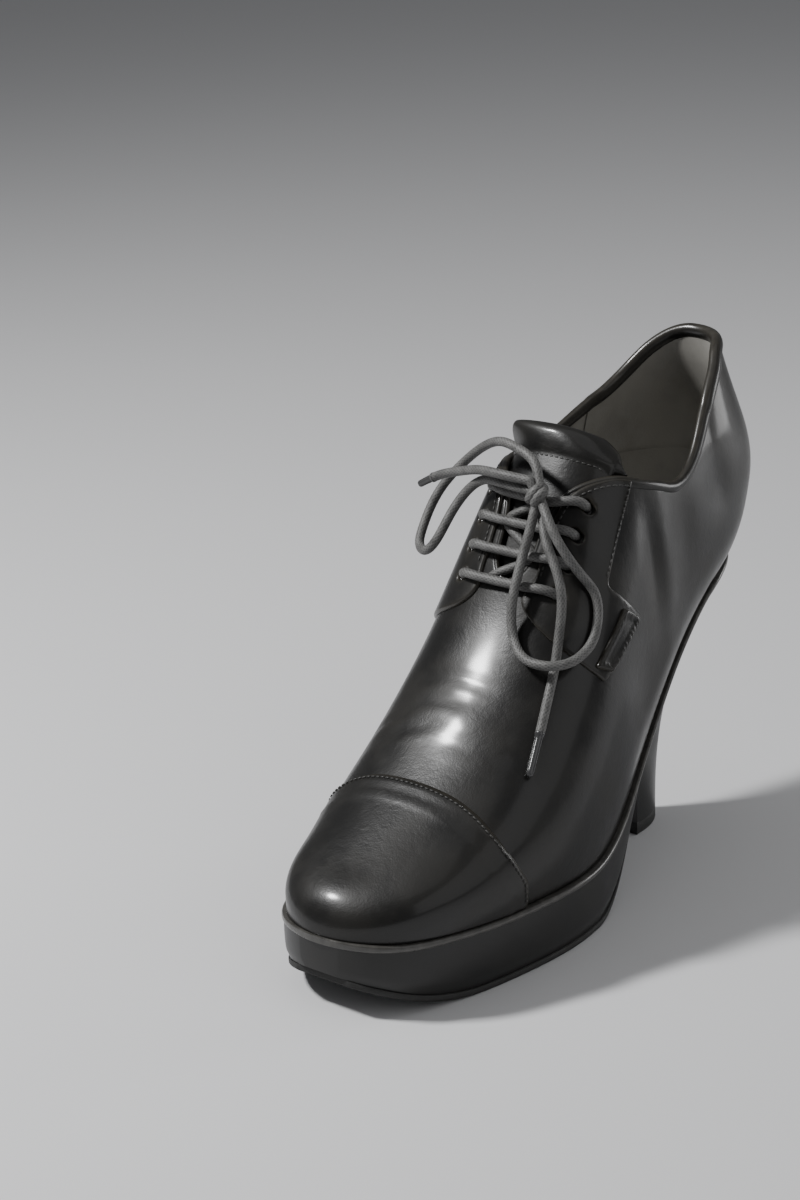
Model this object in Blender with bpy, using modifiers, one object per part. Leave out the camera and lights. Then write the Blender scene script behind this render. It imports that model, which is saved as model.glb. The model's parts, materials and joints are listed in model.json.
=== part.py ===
"""Left ankle boot: laced leather upper with a toe cap, on a platform sole with a high covered heel.

Frame: toe at -Y, heel at +Y, lateral (outer) side at +X, floor at Z = 0, ball of the foot at Y = 0.
Tables and sizes are in millimetres, and the meshes are built in metres.
"""
import math

import bmesh
import bpy
import numpy as np
from mathutils import Matrix, Vector

MM = 0.001
LATERAL, MEDIAL = 1, -1
SIDES = (LATERAL, MEDIAL)

# Driving sizes of the last and the pattern
TOE_TIP = -85.5          # Y of the upper's toe
HEEL_AXIS = 106.0        # Y of the upright axis that the heel is turned about
HEEL_SQUARENESS = 2.15   # exponent of the heel's plan outline
BACK_REACH = 35.0        # how far behind the heel axis the topline ends
THROAT_START = 20.0      # Y where the lacing gap opens
THROAT_ROUND = 7.0       # length of the gap's rounded end
THROAT_HALF = 7.5        # half width of the lacing gap
CORNER_ROUND = 2.0       # softness of the corner between gap and topline
WALL = 1.8               # upper's leather and lining
OVERLAY = 1.2            # toe cap and eyestay leather
GAP = 0.35               # between pieces that meet

# Half sections of the last: foot edge, widest point and ridge, with the fullness of the curve between them
SECTIONS = np.array(
    [
        # y, foot lateral, foot medial, foot z, wide lateral, wide medial, wide z, ridge z, fullness
        (-85.5, 0.0, 0.0, 27.5, 0.0, 0.0, 27.5, 27.5, 2.2),
        (-81.0, 15.8, 15.2, 27.0, 16.1, 15.3, 31.4, 38.0, 1.85),
        (-70.0, 27.0, 25.2, 26.3, 28.0, 25.2, 34.0, 43.8, 2.2),
        (-55.0, 33.6, 31.0, 25.6, 35.0, 31.2, 35.8, 51.7, 2.1),
        (-38.0, 38.2, 34.6, 25.0, 40.2, 35.8, 39.0, 62.0, 2.2),
        (-18.0, 41.8, 37.2, 25.0, 44.0, 39.4, 42.0, 77.0, 2.2),
        (0.0, 43.0, 38.0, 25.0, 45.0, 41.0, 46.0, 94.0, 2.2),
        (18.0, 41.0, 36.4, 26.6, 43.5, 40.4, 52.0, 116.0, 2.25),
        (35.0, 37.0, 31.6, 33.5, 40.5, 38.0, 60.0, 143.0, 2.3),
        (52.0, 32.5, 27.8, 46.0, 37.0, 35.0, 71.0, 168.0, 2.3),
        (70.0, 29.0, 25.8, 63.0, 34.6, 33.0, 86.0, 188.0, 2.2),
        (90.0, 26.4, 25.2, 81.0, 33.2, 32.2, 103.0, 193.0, 2.05),
        (106.0, 25.0, 24.5, 92.5, 33.0, 32.2, 113.0, 191.0, 2.0),
    ]
)
COL_Y, COL_FOOT_L, COL_FOOT_M, COL_FOOT_Z = range(4)
COL_WIDE_L, COL_WIDE_M, COL_WIDE_Z, COL_RIDGE_Z, COL_FULL = range(4, 9)

# Side view of the topline, from the eyestay's top corner to the back
TOPLINE = np.array(
    [
        # y, lateral z, medial z
        (44.0, 151.0, 149.5),
        (52.0, 151.0, 150.5),
        (60.0, 148.6, 150.2),
        (72.0, 144.8, 149.8),
        (80.0, 142.6, 150.8),
        (86.0, 143.9, 152.0),
        (94.0, 149.8, 154.4),
        (102.0, 159.1, 157.0),
        (109.0, 166.3, 158.8),
        (117.0, 172.0, 160.2),
        (124.0, 176.4, 163.4),
        (130.0, 180.5, 168.6),
        (134.5, 182.2, 174.2),
        (138.3, 182.9, 179.2),
        (141.0, 183.0, 183.0),
    ]
)

# Back line of the upper: height above the foot edge, distance behind the heel axis
BACK_LINE = np.array(
    [(0.0, 31.5), (8.0, 35.0), (20.0, 41.3), (34.0, 46.2), (55.0, 40.2), (70.0, 35.0), (82.0, 33.3),
     (110.0, 31.0)]
)

# Foot edge through the waist and round the heel seat: y, z
SEAT_LINE = np.array(
    [(52.0, 46.0), (70.0, 63.0), (90.0, 81.0), (106.0, 92.5), (122.0, 100.0), (144.0, 105.0)]
)

# Sole
WELT_LEDGE = 2.2         # welt beyond the upper's foot edge
WELT = 2.2               # thickness
WELT_BEVEL = 0.5
PLATFORM_SET_BACK = 0.9  # platform wall behind the welt's edge
PLATFORM_TUCK = 1.8      # how far the wall runs in towards its lower edge
PLATFORM_SHOULDER = 0.25  # share of the wall's height, and of the tuck, where it turns in
PLATFORM_END = 52.0      # Y where the platform runs out under the waist
OUTSOLE = 2.4
OUTSOLE_SET_BACK = 2.0
OUTSOLE_BEVEL = 0.8
TREAD_FRONT, TREAD_BACK = -44.0, 14.0   # flat of the forefoot on the floor
TOE_SPRING = 12.4        # height of the sole's toe end above the floor
WAIST_START = 58.0       # Y where the sole has met the waist
INSOLE = 2.4
INSOLE_BEVEL = 0.7
INSOLE_SET_BACK = 1.2    # beside the upper's lining

# Heel
HEEL_BREAST = 80.0       # Y of the heel's front at the seat
OUTSOLE_END = 79.2       # Y where the outsole meets the heel's front
TIP_FRONT, TIP_BACK, TIP_HALF = 84.0, 105.0, 10.5
TOP_PIECE = 5.0          # thickness of the wearing piece under the heel
HEEL_FLARE = 2.5         # how late the heel widens towards the seat
HEEL_SET_BACK = 1.2      # heel's seat behind the welt's edge
TIP_ROUND = 0.8          # exponent of the tip's round back
TOP_PIECE_EDGE = ((0.8, 0.0), (0.2, 0.7), (0.2, TOP_PIECE))   # set back, z

# Pattern lines in side view (y, z)
CUT_REACH = 60.0         # how far the pattern's cutters run along X
TOE_CAP_FRONT = ((-95.0, 75.0), (-95.0, 28.5))
TOE_CAP_LINE = ((-26.5, 25.5), (-28.2, 35.0), (-32.6, 42.5), (-35.4, 48.5),
                (-36.2, 54.0), (-35.4, 62.0), (-35.2, 75.0))
EYESTAY_BACK_TOP, EYESTAY_BACK_FOOT = (57.5, 152.0), (34.8, 118.0)
TAB_UPPER, TAB_LOWER = (48.2, 103.8), (22.5, 88.3)
EYESTAY_FRONT_L = ((16.0, 96.6), (13.3, 103.7), (14.2, 108.6), (18.0, 116.5))
EYESTAY_FRONT_M = ((36.0, 86.0), (19.7, 99.6), (14.2, 106.9), (15.1, 111.9), (17.0, 116.2))
EYESTAY_BACK_FOOT_M = (52.0, 98.0)
EYESTAY_BEYOND = ((62.0, 165.0), (8.0, 165.0), (8.0, 120.0))   # round the sheet's own edge
EYESTAY_EDGE = 9.0       # eyestay's front edge from the middle of the lacing gap
TAB_BAR = ((38.2, 109.8), (19.8, 93.8), (25.8, 90.7), (46.0, 104.2))
EYELETS = ((22.0, 116.0), (28.0, 125.0), (34.0, 134.0), (40.5, 142.6))
EYELET_HOLE = 4.0
EYELET_CUT = 14.0        # length of the hole's cutter

# Tongue
TONGUE_FOOT, TONGUE_TOP = 9.0, 51.6     # Y of its ends, along the ridge
TONGUE_HALF = 24.0
TONGUE_THICK = 2.4
TONGUE_ROLL = 1.6        # extra thickness of the rolled top edge
TONGUE_ROLL_START, TONGUE_ROLL_LENGTH = 46.5, 2.0
TONGUE_FALL = (0.85, -0.53)   # direction across the ridge in side view, down its back
FALL_REACH = 40.0        # furthest that the tongue's edges fall behind its ridge
TONGUE_FREE_START, TONGUE_FREE_LENGTH = 45.5, 6.1   # where it stands above the collar
TONGUE_TURN = {LATERAL: 1.7, MEDIAL: 0.6}   # fall of the free part's edges, beside the form's
TONGUE_SLIP = -3.0       # free part's slip across the boot

# Lace: bars across the gap, then the bow's routes from and back to the knot
LACE = 3.4
LACE_BAR_HALF = 21.0
LACE_BAR_DROP = 0.7      # bars below their eyelets, along the ridge
LACE_BAR_DIP = 0.8       # bars nearer the tongue inside the gap
LACE_BAR_SAG = (0.8, 0.4, 1.6, 5.0)      # pull of the knot on each bar, from the lowest up
SAG_MIDDLE, SAG_HALF = 6.0, 27.0
SAG_SHARE = 0.55         # of the sag, along Y
KNOT_CENTRE = (8.6, 28.0, 148.4)
KNOT_SIZE = (10.0, 7.5, 9.0)
LOOP_LEFT = (
    (7.0, 30.5, 153.3), (4.0, 32.8, 157.3), (-3.5, 35.3, 160.3), (-13.0, 38.3, 161.2),
    (-24.5, 43.2, 157.2), (-33.0, 45.5, 151.5), (-38.5, 44.0, 146.0), (-42.5, 40.5, 140.0),
    (-44.7, 36.5, 133.5), (-45.0, 31.5, 126.5), (-43.3, 27.2, 122.4), (-38.4, 23.5, 121.3),
    (-33.2, 22.5, 125.0), (-30.8, 24.8, 130.2), (-29.5, 28.5, 135.5), (-27.5, 32.0, 140.5),
    (-24.0, 33.5, 144.7), (-18.0, 33.0, 148.2), (-9.0, 30.2, 149.4), (1.6, 29.0, 149.2),
)
LOOP_RIGHT = (
    (13.2, 25.0, 144.6), (20.6, 21.2, 137.0), (25.7, 21.9, 129.8), (29.2, 25.1, 123.1),
    (32.0, 27.0, 118.0), (34.1, 26.0, 112.8), (35.4, 23.4, 108.0), (36.1, 19.4, 103.4),
    (35.8, 13.6, 100.4), (34.5, 7.2, 99.2), (31.0, 3.0, 98.9), (25.5, 1.4, 99.0),
    (18.9, 2.8, 99.9), (13.4, 5.9, 103.5), (10.6, 8.4, 109.0), (9.8, 10.4, 116.0),
    (9.3, 14.2, 123.4), (8.9, 18.2, 130.1), (9.0, 21.7, 136.7), (8.8, 25.2, 143.2),
)
END_LEFT = (
    (2.0, 27.5, 153.2), (-6.0, 27.0, 153.6), (-18.0, 29.8, 152.6), (-29.0, 33.0, 149.5),
    (-37.5, 33.5, 146.8), (-44.0, 32.5, 143.5), (-46.5, 32.0, 142.0),
)
END_RIGHT = (
    (11.6, 26.3, 140.4), (15.2, 22.6, 135.1), (20.2, 19.8, 129.0), (24.8, 17.2, 122.2),
    (26.6, 15.4, 115.0), (27.2, 12.8, 106.0), (28.3, 9.0, 97.8), (30.8, 0.6, 87.4),
    (33.2, -7.6, 78.2), (36.1, -17.8, 67.4),
)

# Mesh fineness
TOE_STEPS = 9
TOE_REGION_END = -38.0
MIDDLE_STATIONS = (-28.0, -18.0, -8.0, 2.0, 11.0, 20.0, 20.9, 23.5, 27.0, 31.0, 35.5, 40.0, 44.0, 48.0,
                   53.0, 60.0, 68.0, 77.0, 86.0, 96.0, 106.0)
HEEL_STEPS = 7
EYESTAY_STRIPS = (TOE_STEPS + 2, TOE_STEPS + 17)   # strips of the sheet that the eyestays are cut from
RIB_POINTS = 13
SOLE_STATIONS = 34
PROFILE_POINTS = 160
EYELET_SIDES = 12
BISECTIONS = 40
SHARP_EDGE = 35.0        # degrees between faces that are not shaded as one
TUBE_SPACING = 8.0

# Colours: linear RGB, roughness
BLACK_LEATHER = ((0.012, 0.012, 0.012), 0.28)
LINING = ((0.03, 0.028, 0.026), 0.7)
SOLE_BLACK = ((0.01, 0.01, 0.01), 0.5)
RUBBER = ((0.012, 0.012, 0.012), 0.75)
WAXED_CORD = ((0.028, 0.028, 0.028), 0.6)


def spline(xs, ys):
    """Natural cubic through the points, straight beyond its ends."""
    xs, ys = np.asarray(xs, float), np.asarray(ys, float)
    count = len(xs)
    step = np.diff(xs)
    rise = np.diff(ys) / step
    matrix = np.eye(count)
    right = np.zeros(count)
    for i in range(1, count - 1):
        matrix[i, i - 1:i + 2] = step[i - 1], 2 * (step[i - 1] + step[i]), step[i]
        right[i] = 6 * (rise[i] - rise[i - 1])
    bend = np.linalg.solve(matrix, right)
    first_slope = rise[0] - step[0] * bend[1] / 6
    last_slope = rise[-1] + step[-1] * bend[-2] / 6

    def value(x):
        x = np.asarray(x, float)
        i = np.clip(np.searchsorted(xs, x) - 1, 0, count - 2)
        t = x - xs[i]
        slope = rise[i] - step[i] * (2 * bend[i] + bend[i + 1]) / 6
        inside = ys[i] + slope * t + bend[i] / 2 * t**2 + (bend[i + 1] - bend[i]) / (6 * step[i]) * t**3
        before = ys[0] + first_slope * (x - xs[0])
        after = ys[-1] + last_slope * (x - xs[-1])
        return np.where(x < xs[0], before, np.where(x > xs[-1], after, inside))

    return value


def round_ended(xs, ys):
    """Spline through the squares, so that a width that starts at nothing opens as a round end does."""
    squares = spline(xs, np.asarray(ys, float) ** 2)
    return lambda x: np.sqrt(np.maximum(squares(x), 0.0))


def resample(points, count):
    """Points at even distances along a polyline."""
    length = np.concatenate([[0.0], np.cumsum(np.linalg.norm(np.diff(points, axis=0), axis=1))])
    if length[-1] < 1e-9:
        return np.repeat(points[:1], count, axis=0)
    marks = np.linspace(0.0, length[-1], count)
    return np.stack([np.interp(marks, length, points[:, k]) for k in range(points.shape[1])], axis=-1)


def smoothstep(t):
    t = np.clip(t, 0.0, 1.0)
    return t * t * (3 - 2 * t)


class Last:
    """The form that the upper is drawn over, as functions of the tables."""

    def __init__(self):
        y = SECTIONS[:, COL_Y]
        self.foot_z = spline(y, SECTIONS[:, COL_FOOT_Z])
        self.seat_z = spline(SEAT_LINE[:, 0], SEAT_LINE[:, 1])
        self.foot = {
            LATERAL: round_ended(y, SECTIONS[:, COL_FOOT_L]),
            MEDIAL: round_ended(y, SECTIONS[:, COL_FOOT_M]),
        }
        self.wide = {
            LATERAL: round_ended(y, SECTIONS[:, COL_WIDE_L]),
            MEDIAL: round_ended(y, SECTIONS[:, COL_WIDE_M]),
        }
        self.wide_rise = round_ended(y, SECTIONS[:, COL_WIDE_Z] - SECTIONS[:, COL_FOOT_Z])
        self.ridge_rise = round_ended(y, SECTIONS[:, COL_RIDGE_Z] - SECTIONS[:, COL_FOOT_Z])
        self.fullness = spline(y, SECTIONS[:, COL_FULL])
        self.topline = {
            LATERAL: spline(TOPLINE[:, 0], TOPLINE[:, 1]),
            MEDIAL: spline(TOPLINE[:, 0], TOPLINE[:, 2]),
        }
        self.back = spline(BACK_LINE[:, 0], BACK_LINE[:, 1])
        self.heel_end = HEEL_AXIS + float(self.back(0.0))

    def edge_z(self, y):
        """Height of the foot edge, from toe to back."""
        return np.where(np.asarray(y) < SEAT_LINE[2, 0], self.foot_z(y), self.seat_z(y))

    def plan_half(self, y, side):
        """Half width of the foot edge in plan, closed round the heel."""
        behind = np.clip((np.asarray(y, float) - HEEL_AXIS) / float(self.back(0.0)), 0.0, 1.0)
        heel = self.foot[side](HEEL_AXIS) * (1 - behind**HEEL_SQUARENESS) ** (1 / HEEL_SQUARENESS)
        return np.where(np.asarray(y) > HEEL_AXIS, heel, self.foot[side](np.minimum(y, HEEL_AXIS)))

    def profile(self, y, side):
        """Closed half section at y, from the foot edge to the ridge, as (x, z)."""
        foot, wide = self.foot[side](y), self.wide[side](y)
        foot_z = self.foot_z(y)
        wide_z, ridge_z = foot_z + self.wide_rise(y), foot_z + self.ridge_rise(y)
        power = 2 / self.fullness(y)
        low = np.linspace(1.0, 0.0, PROFILE_POINTS // 3)
        lower = np.stack([wide - (wide - foot) * low**2, wide_z - (wide_z - foot_z) * low], axis=-1)
        turn = np.linspace(0.0, math.pi / 2, PROFILE_POINTS)[1:]
        upper_x = wide * np.cos(turn) ** power
        upper_z = wide_z + (ridge_z - wide_z) * np.sin(turn) ** power
        upper = np.stack([upper_x, upper_z], axis=-1)
        upper[-1, 0] = 0.0
        return np.concatenate([lower, upper])

    def half_width(self, y, z, side):
        """Half width of the closed form at (y, z), above the widest line."""
        foot_z = self.foot_z(y)
        wide_z, ridge_z = foot_z + self.wide_rise(y), foot_z + self.ridge_rise(y)
        share = np.clip((z - wide_z) / (ridge_z - wide_z), 0.0, 1.0)
        full = self.fullness(y)
        return self.wide[side](y) * (1 - share**full) ** (1 / full)

    def ridge_z(self, y):
        return self.foot_z(y) + self.ridge_rise(y)

    def top_z(self, y, side):
        """Height of the upper's top edge: the lacing gap's edge, softly joined to the topline."""
        opening = min((y - THROAT_START) / THROAT_ROUND, 1.0)
        half = THROAT_HALF * math.sqrt(max(1 - (1 - opening) ** 2, 0.0))
        upper = self.profile(y, side)[PROFILE_POINTS // 3:]
        gap_z = np.interp(-half, -upper[:, 0], upper[:, 1])
        line_z = self.topline[side](y)
        low, high = min(gap_z, line_z), max(gap_z, line_z)
        return low - CORNER_ROUND * math.log1p(math.exp((low - high) / CORNER_ROUND))

    def rib(self, y, side):
        """Half section at y, ended at the ridge, the lacing gap or the topline."""
        points = self.profile(y, side)
        if y > THROAT_START:
            top = self.top_z(y, side)
            k = int(np.searchsorted(points[:, 1], top))
            share = (top - points[k - 1, 1]) / (points[k, 1] - points[k - 1, 1])
            points = np.concatenate([points[:k], [points[k - 1] + share * (points[k] - points[k - 1])]])
        return np.stack([side * points[:, 0], np.full(len(points), y), points[:, 1]], axis=-1)

    def heel_rib(self, angle, side):
        """Rib of the heel, at an angle from straight back (0) to the side (a quarter turn)."""
        across, along = math.sin(angle), math.cos(angle)
        side_section = self.profile(HEEL_AXIS, side)
        section_rise = side_section[:, 1] - side_section[0, 1]

        def reach(rise):
            half = np.interp(rise, section_rise, side_section[:, 0])
            back = self.back(rise)
            power = HEEL_SQUARENESS
            return ((across / half) ** power + (along / back) ** power) ** (-1 / power)

        foot_z = self.seat_z(HEEL_AXIS + reach(0.0) * along)
        top_z = self.topline[side](HEEL_AXIS + BACK_REACH * along)
        rise = np.linspace(0.0, 1.0, PROFILE_POINTS) * (top_z - foot_z)
        distance = reach(rise)
        return np.stack([side * distance * across, HEEL_AXIS + distance * along, foot_z + rise], axis=-1)

    def ribs(self, side):
        """Grid of points over one side: toe tip to back seam, foot edge to top edge."""
        toe_turn = np.linspace(0.0, math.pi / 2, TOE_STEPS)
        toe = TOE_TIP + (TOE_REGION_END - TOE_TIP) * (1 - np.cos(toe_turn))
        stations = [self.rib(y, side) for y in (*toe, *MIDDLE_STATIONS)]
        angles = np.linspace(math.pi / 2, 0.0, HEEL_STEPS + 1)[1:]
        stations += [self.heel_rib(angle, side) for angle in angles]
        return np.array([resample(rib, RIB_POINTS) for rib in stations])


class FormSurface:
    """Both sides of the form as one welded sheet, with its outward directions."""

    def __init__(self, last):
        self.points, self.faces, self.face_station, self.face_side = [], [], [], []
        self.index = {}
        for side in SIDES:
            self.add_side(last.ribs(side), side)
        self.points = np.array(self.points)
        self.outward = self.directions()

    def key(self, side, station, level, stations, y):
        """Names a grid point, the same on both sides where the sides meet."""
        if station == 0:
            return ("toe",)
        on_ridge = level == RIB_POINTS - 1 and y <= THROAT_START
        on_back = station == stations - 1
        if on_ridge or on_back:
            return ("middle", station, level)
        return (side, station, level)

    def add_side(self, grid, side):
        stations = len(grid)
        for i in range(stations):
            for j in range(RIB_POINTS):
                key = self.key(side, i, j, stations, grid[i, j, 1])
                if key not in self.index:
                    self.index[key] = len(self.points)
                    self.points.append(grid[i, j])
        for i in range(stations - 1):
            for j in range(RIB_POINTS - 1):
                corners = ((i, j), (i + 1, j), (i + 1, j + 1), (i, j + 1))
                face = [self.index[self.key(side, a, b, stations, grid[a, b, 1])] for a, b in corners]
                face = list(dict.fromkeys(face))
                for k in range(1, len(face) - 1):
                    triangle = [face[0], face[k], face[k + 1]]
                    self.faces.append(triangle if side == LATERAL else triangle[::-1])
                    self.face_station.append(i)
                    self.face_side.append(side)

    def directions(self):
        total = np.zeros_like(self.points)
        for face in self.faces:
            corner = self.points[face]
            normal = np.cross(corner[1] - corner[0], corner[-1] - corner[0])
            total[face] += normal
        return total / np.linalg.norm(total, axis=1, keepdims=True)

    def sheet(self, offset, keep):
        """Points and faces of the part of the sheet that keep(station, side) names, moved out by offset."""
        chosen = [f for f, i, s in zip(self.faces, self.face_station, self.face_side) if keep(i, s)]
        used = sorted({v for face in chosen for v in face})
        renumber = {v: k for k, v in enumerate(used)}
        points = self.points[used] + offset * self.outward[used]
        return points, [[renumber[v] for v in face] for face in chosen]


def make_material(name, look):
    colour, roughness = look
    material = bpy.data.materials.new(name)
    material.use_nodes = True
    shader = material.node_tree.nodes["Principled BSDF"]
    shader.inputs["Base Color"].default_value = (*colour, 1.0)
    shader.inputs["Roughness"].default_value = roughness
    shader.inputs["Metallic"].default_value = 0.0
    return material


def add_object(name, data, collection, look=None):
    obj = bpy.data.objects.new(name, data)
    collection.objects.link(obj)
    if look is not None:
        data.materials.append(make_material(name, look))
    return obj


def mesh_from(name, points, faces):
    """Mesh from points in millimetres."""
    mesh = bpy.data.meshes.new(name)
    mesh.from_pydata((np.asarray(points, float) * MM).tolist(), [], [list(map(int, f)) for f in faces])
    mesh.update()
    mesh.shade_smooth()
    mesh.set_sharp_from_angle(angle=math.radians(SHARP_EDGE))
    return mesh


def solidify(obj, thickness, direction):
    modifier = obj.modifiers.new("Solidify", "SOLIDIFY")
    modifier.thickness = thickness * MM
    modifier.offset = direction
    modifier.use_even_offset = False


def boolean(obj, cutter, operation):
    modifier = obj.modifiers.new(operation.title(), "BOOLEAN")
    modifier.operation = operation
    modifier.object = cutter


def prism(name, outline, x_from, x_to, collection):
    """Cutter: a side-view outline (y, z) run along X."""
    count = len(outline)
    points = [(x, y, z) for x in (x_from, x_to) for y, z in outline]
    faces = [list(range(count)), list(range(2 * count - 1, count - 1, -1))]
    faces += [[i, i + count, (i + 1) % count + count, (i + 1) % count] for i in range(count)]
    mesh = mesh_from(name, points, faces)
    work = bmesh.new()
    work.from_mesh(mesh)
    bmesh.ops.recalc_face_normals(work, faces=work.faces)
    work.to_mesh(mesh)
    work.free()
    return hide_cutter(add_object(name, mesh, collection))


def hide_cutter(obj):
    obj.hide_render = True
    obj.display_type = "WIRE"
    return obj


def cross_sections_solid(rings):
    """Points and faces of a closed solid through rings of equal count, with flat ends."""
    count = len(rings[0])
    points = np.concatenate(rings)
    faces = []
    for i in range(len(rings) - 1):
        for j in range(count):
            a, b = i * count + j, i * count + (j + 1) % count
            faces.append([a, b, b + count, a + count])
    last_ring = (len(rings) - 1) * count
    faces.append(list(range(count))[::-1])
    faces.append(list(range(last_ring, last_ring + count)))
    return points, faces


def closed_mesh(name, points, faces):
    """Mesh with its faces turned outwards."""
    mesh = mesh_from(name, points, faces)
    work = bmesh.new()
    work.from_mesh(mesh)
    bmesh.ops.recalc_face_normals(work, faces=work.faces)
    work.to_mesh(mesh)
    work.free()
    return mesh


def plan_stations(front, back, count):
    """Stations along the foot, closer together at its round ends."""
    return front + (back - front) * (1 - np.cos(np.linspace(0.0, math.pi, count))) / 2


def slab(name, stations, half, section, collection, look):
    """Sole piece: at each station, section(y) gives (set back, z) pairs from top edge to bottom edge."""
    rings = []
    for y in stations:
        edge = section(y)
        ring = [(half(y, LATERAL) - inset, y, z) for inset, z in edge]
        ring += [(-half(y, MEDIAL) + inset, y, z) for inset, z in edge[::-1]]
        rings.append(np.array(ring))
    points, faces = cross_sections_solid(rings)
    return add_object(name, closed_mesh(name, points, faces), collection, look)


class Sole:
    """Heights and outlines of the layers under the upper."""

    END_SLIVER = 0.5   # how far inside a round end its flat end face stands

    def __init__(self, last):
        self.last = last
        self.front, self.back = self.ends(WELT_LEDGE)

    def ends(self, ledge):
        return TOE_TIP - ledge, self.last.heel_end + ledge

    def outline(self, y, side, ledge=WELT_LEDGE):
        """Half width of a layer that stands out from the upper's foot edge by a ledge."""
        front, back = self.ends(ledge)
        share = (y - front) / (back - front)
        foot_y = TOE_TIP + share * (self.last.heel_end - TOE_TIP)
        from_end = min(y - front, back - y) / (3 * abs(ledge))
        full_ledge = math.sqrt(max(1 - (1 - min(from_end, 1.0)) ** 2, 0.0))
        return float(self.last.plan_half(foot_y, side)) + ledge * full_ledge

    def top(self, y):
        return float(self.last.edge_z(y)) - GAP

    def tread(self, y):
        """Underside of the outsole: toe spring, flat forefoot, waist."""
        if y < TREAD_FRONT:
            return TOE_SPRING * ((TREAD_FRONT - y) / (TREAD_FRONT - self.front)) ** 2
        waist = self.top(y) - WELT - GAP - OUTSOLE
        return waist * float(smoothstep((y - TREAD_BACK) / (WAIST_START - TREAD_BACK)))

    def welt_section(self, y):
        top = self.top(y)
        bevel, bottom = WELT_BEVEL, top - WELT
        return ((bevel, top), (0.0, top - bevel), (0.0, bottom + bevel), (bevel, bottom))

    def platform_section(self, y):
        top = self.top(y) - WELT - GAP
        bottom = self.tread(y) + OUTSOLE + GAP
        shoulder = bottom + PLATFORM_SHOULDER * (top - bottom)
        wall = PLATFORM_SET_BACK
        turn_in = wall + PLATFORM_SHOULDER * PLATFORM_TUCK
        return ((wall, top), (turn_in, shoulder), (wall + PLATFORM_TUCK, bottom))

    def outsole_section(self, y):
        bottom = self.tread(y)
        inset = OUTSOLE_SET_BACK
        bevel = OUTSOLE_BEVEL
        return ((inset, bottom + OUTSOLE), (inset, bottom + bevel), (inset + bevel, bottom))

    def build(self, collection):
        stations = plan_stations(self.front + self.END_SLIVER, self.back - self.END_SLIVER, SOLE_STATIONS)
        stations = np.sort(np.append(stations, (PLATFORM_END, OUTSOLE_END)))
        platform = stations[(stations > self.front + PLATFORM_SET_BACK) & (stations <= PLATFORM_END)]
        outsole = stations[(stations > self.front + OUTSOLE_SET_BACK) & (stations <= OUTSOLE_END)]
        slab("welt", stations, self.outline, self.welt_section, collection, BLACK_LEATHER)
        slab("platform", platform, self.outline, self.platform_section, collection, BLACK_LEATHER)
        slab("outsole", outsole, self.outline, self.outsole_section, collection, SOLE_BLACK)

    def build_insole(self, collection):
        ledge = -(WALL + INSOLE_SET_BACK)
        front, back = self.ends(ledge)

        def half(y, side):
            return self.outline(y, side, ledge)

        def section(y):
            foot = float(self.last.edge_z(y)) + GAP
            top = foot + INSOLE
            return ((INSOLE_BEVEL, top), (0.0, top - INSOLE_BEVEL), (0.0, foot))

        stations = plan_stations(front + self.END_SLIVER, back - self.END_SLIVER, SOLE_STATIONS)
        slab("insole", stations, half, section, collection, LINING)


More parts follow.
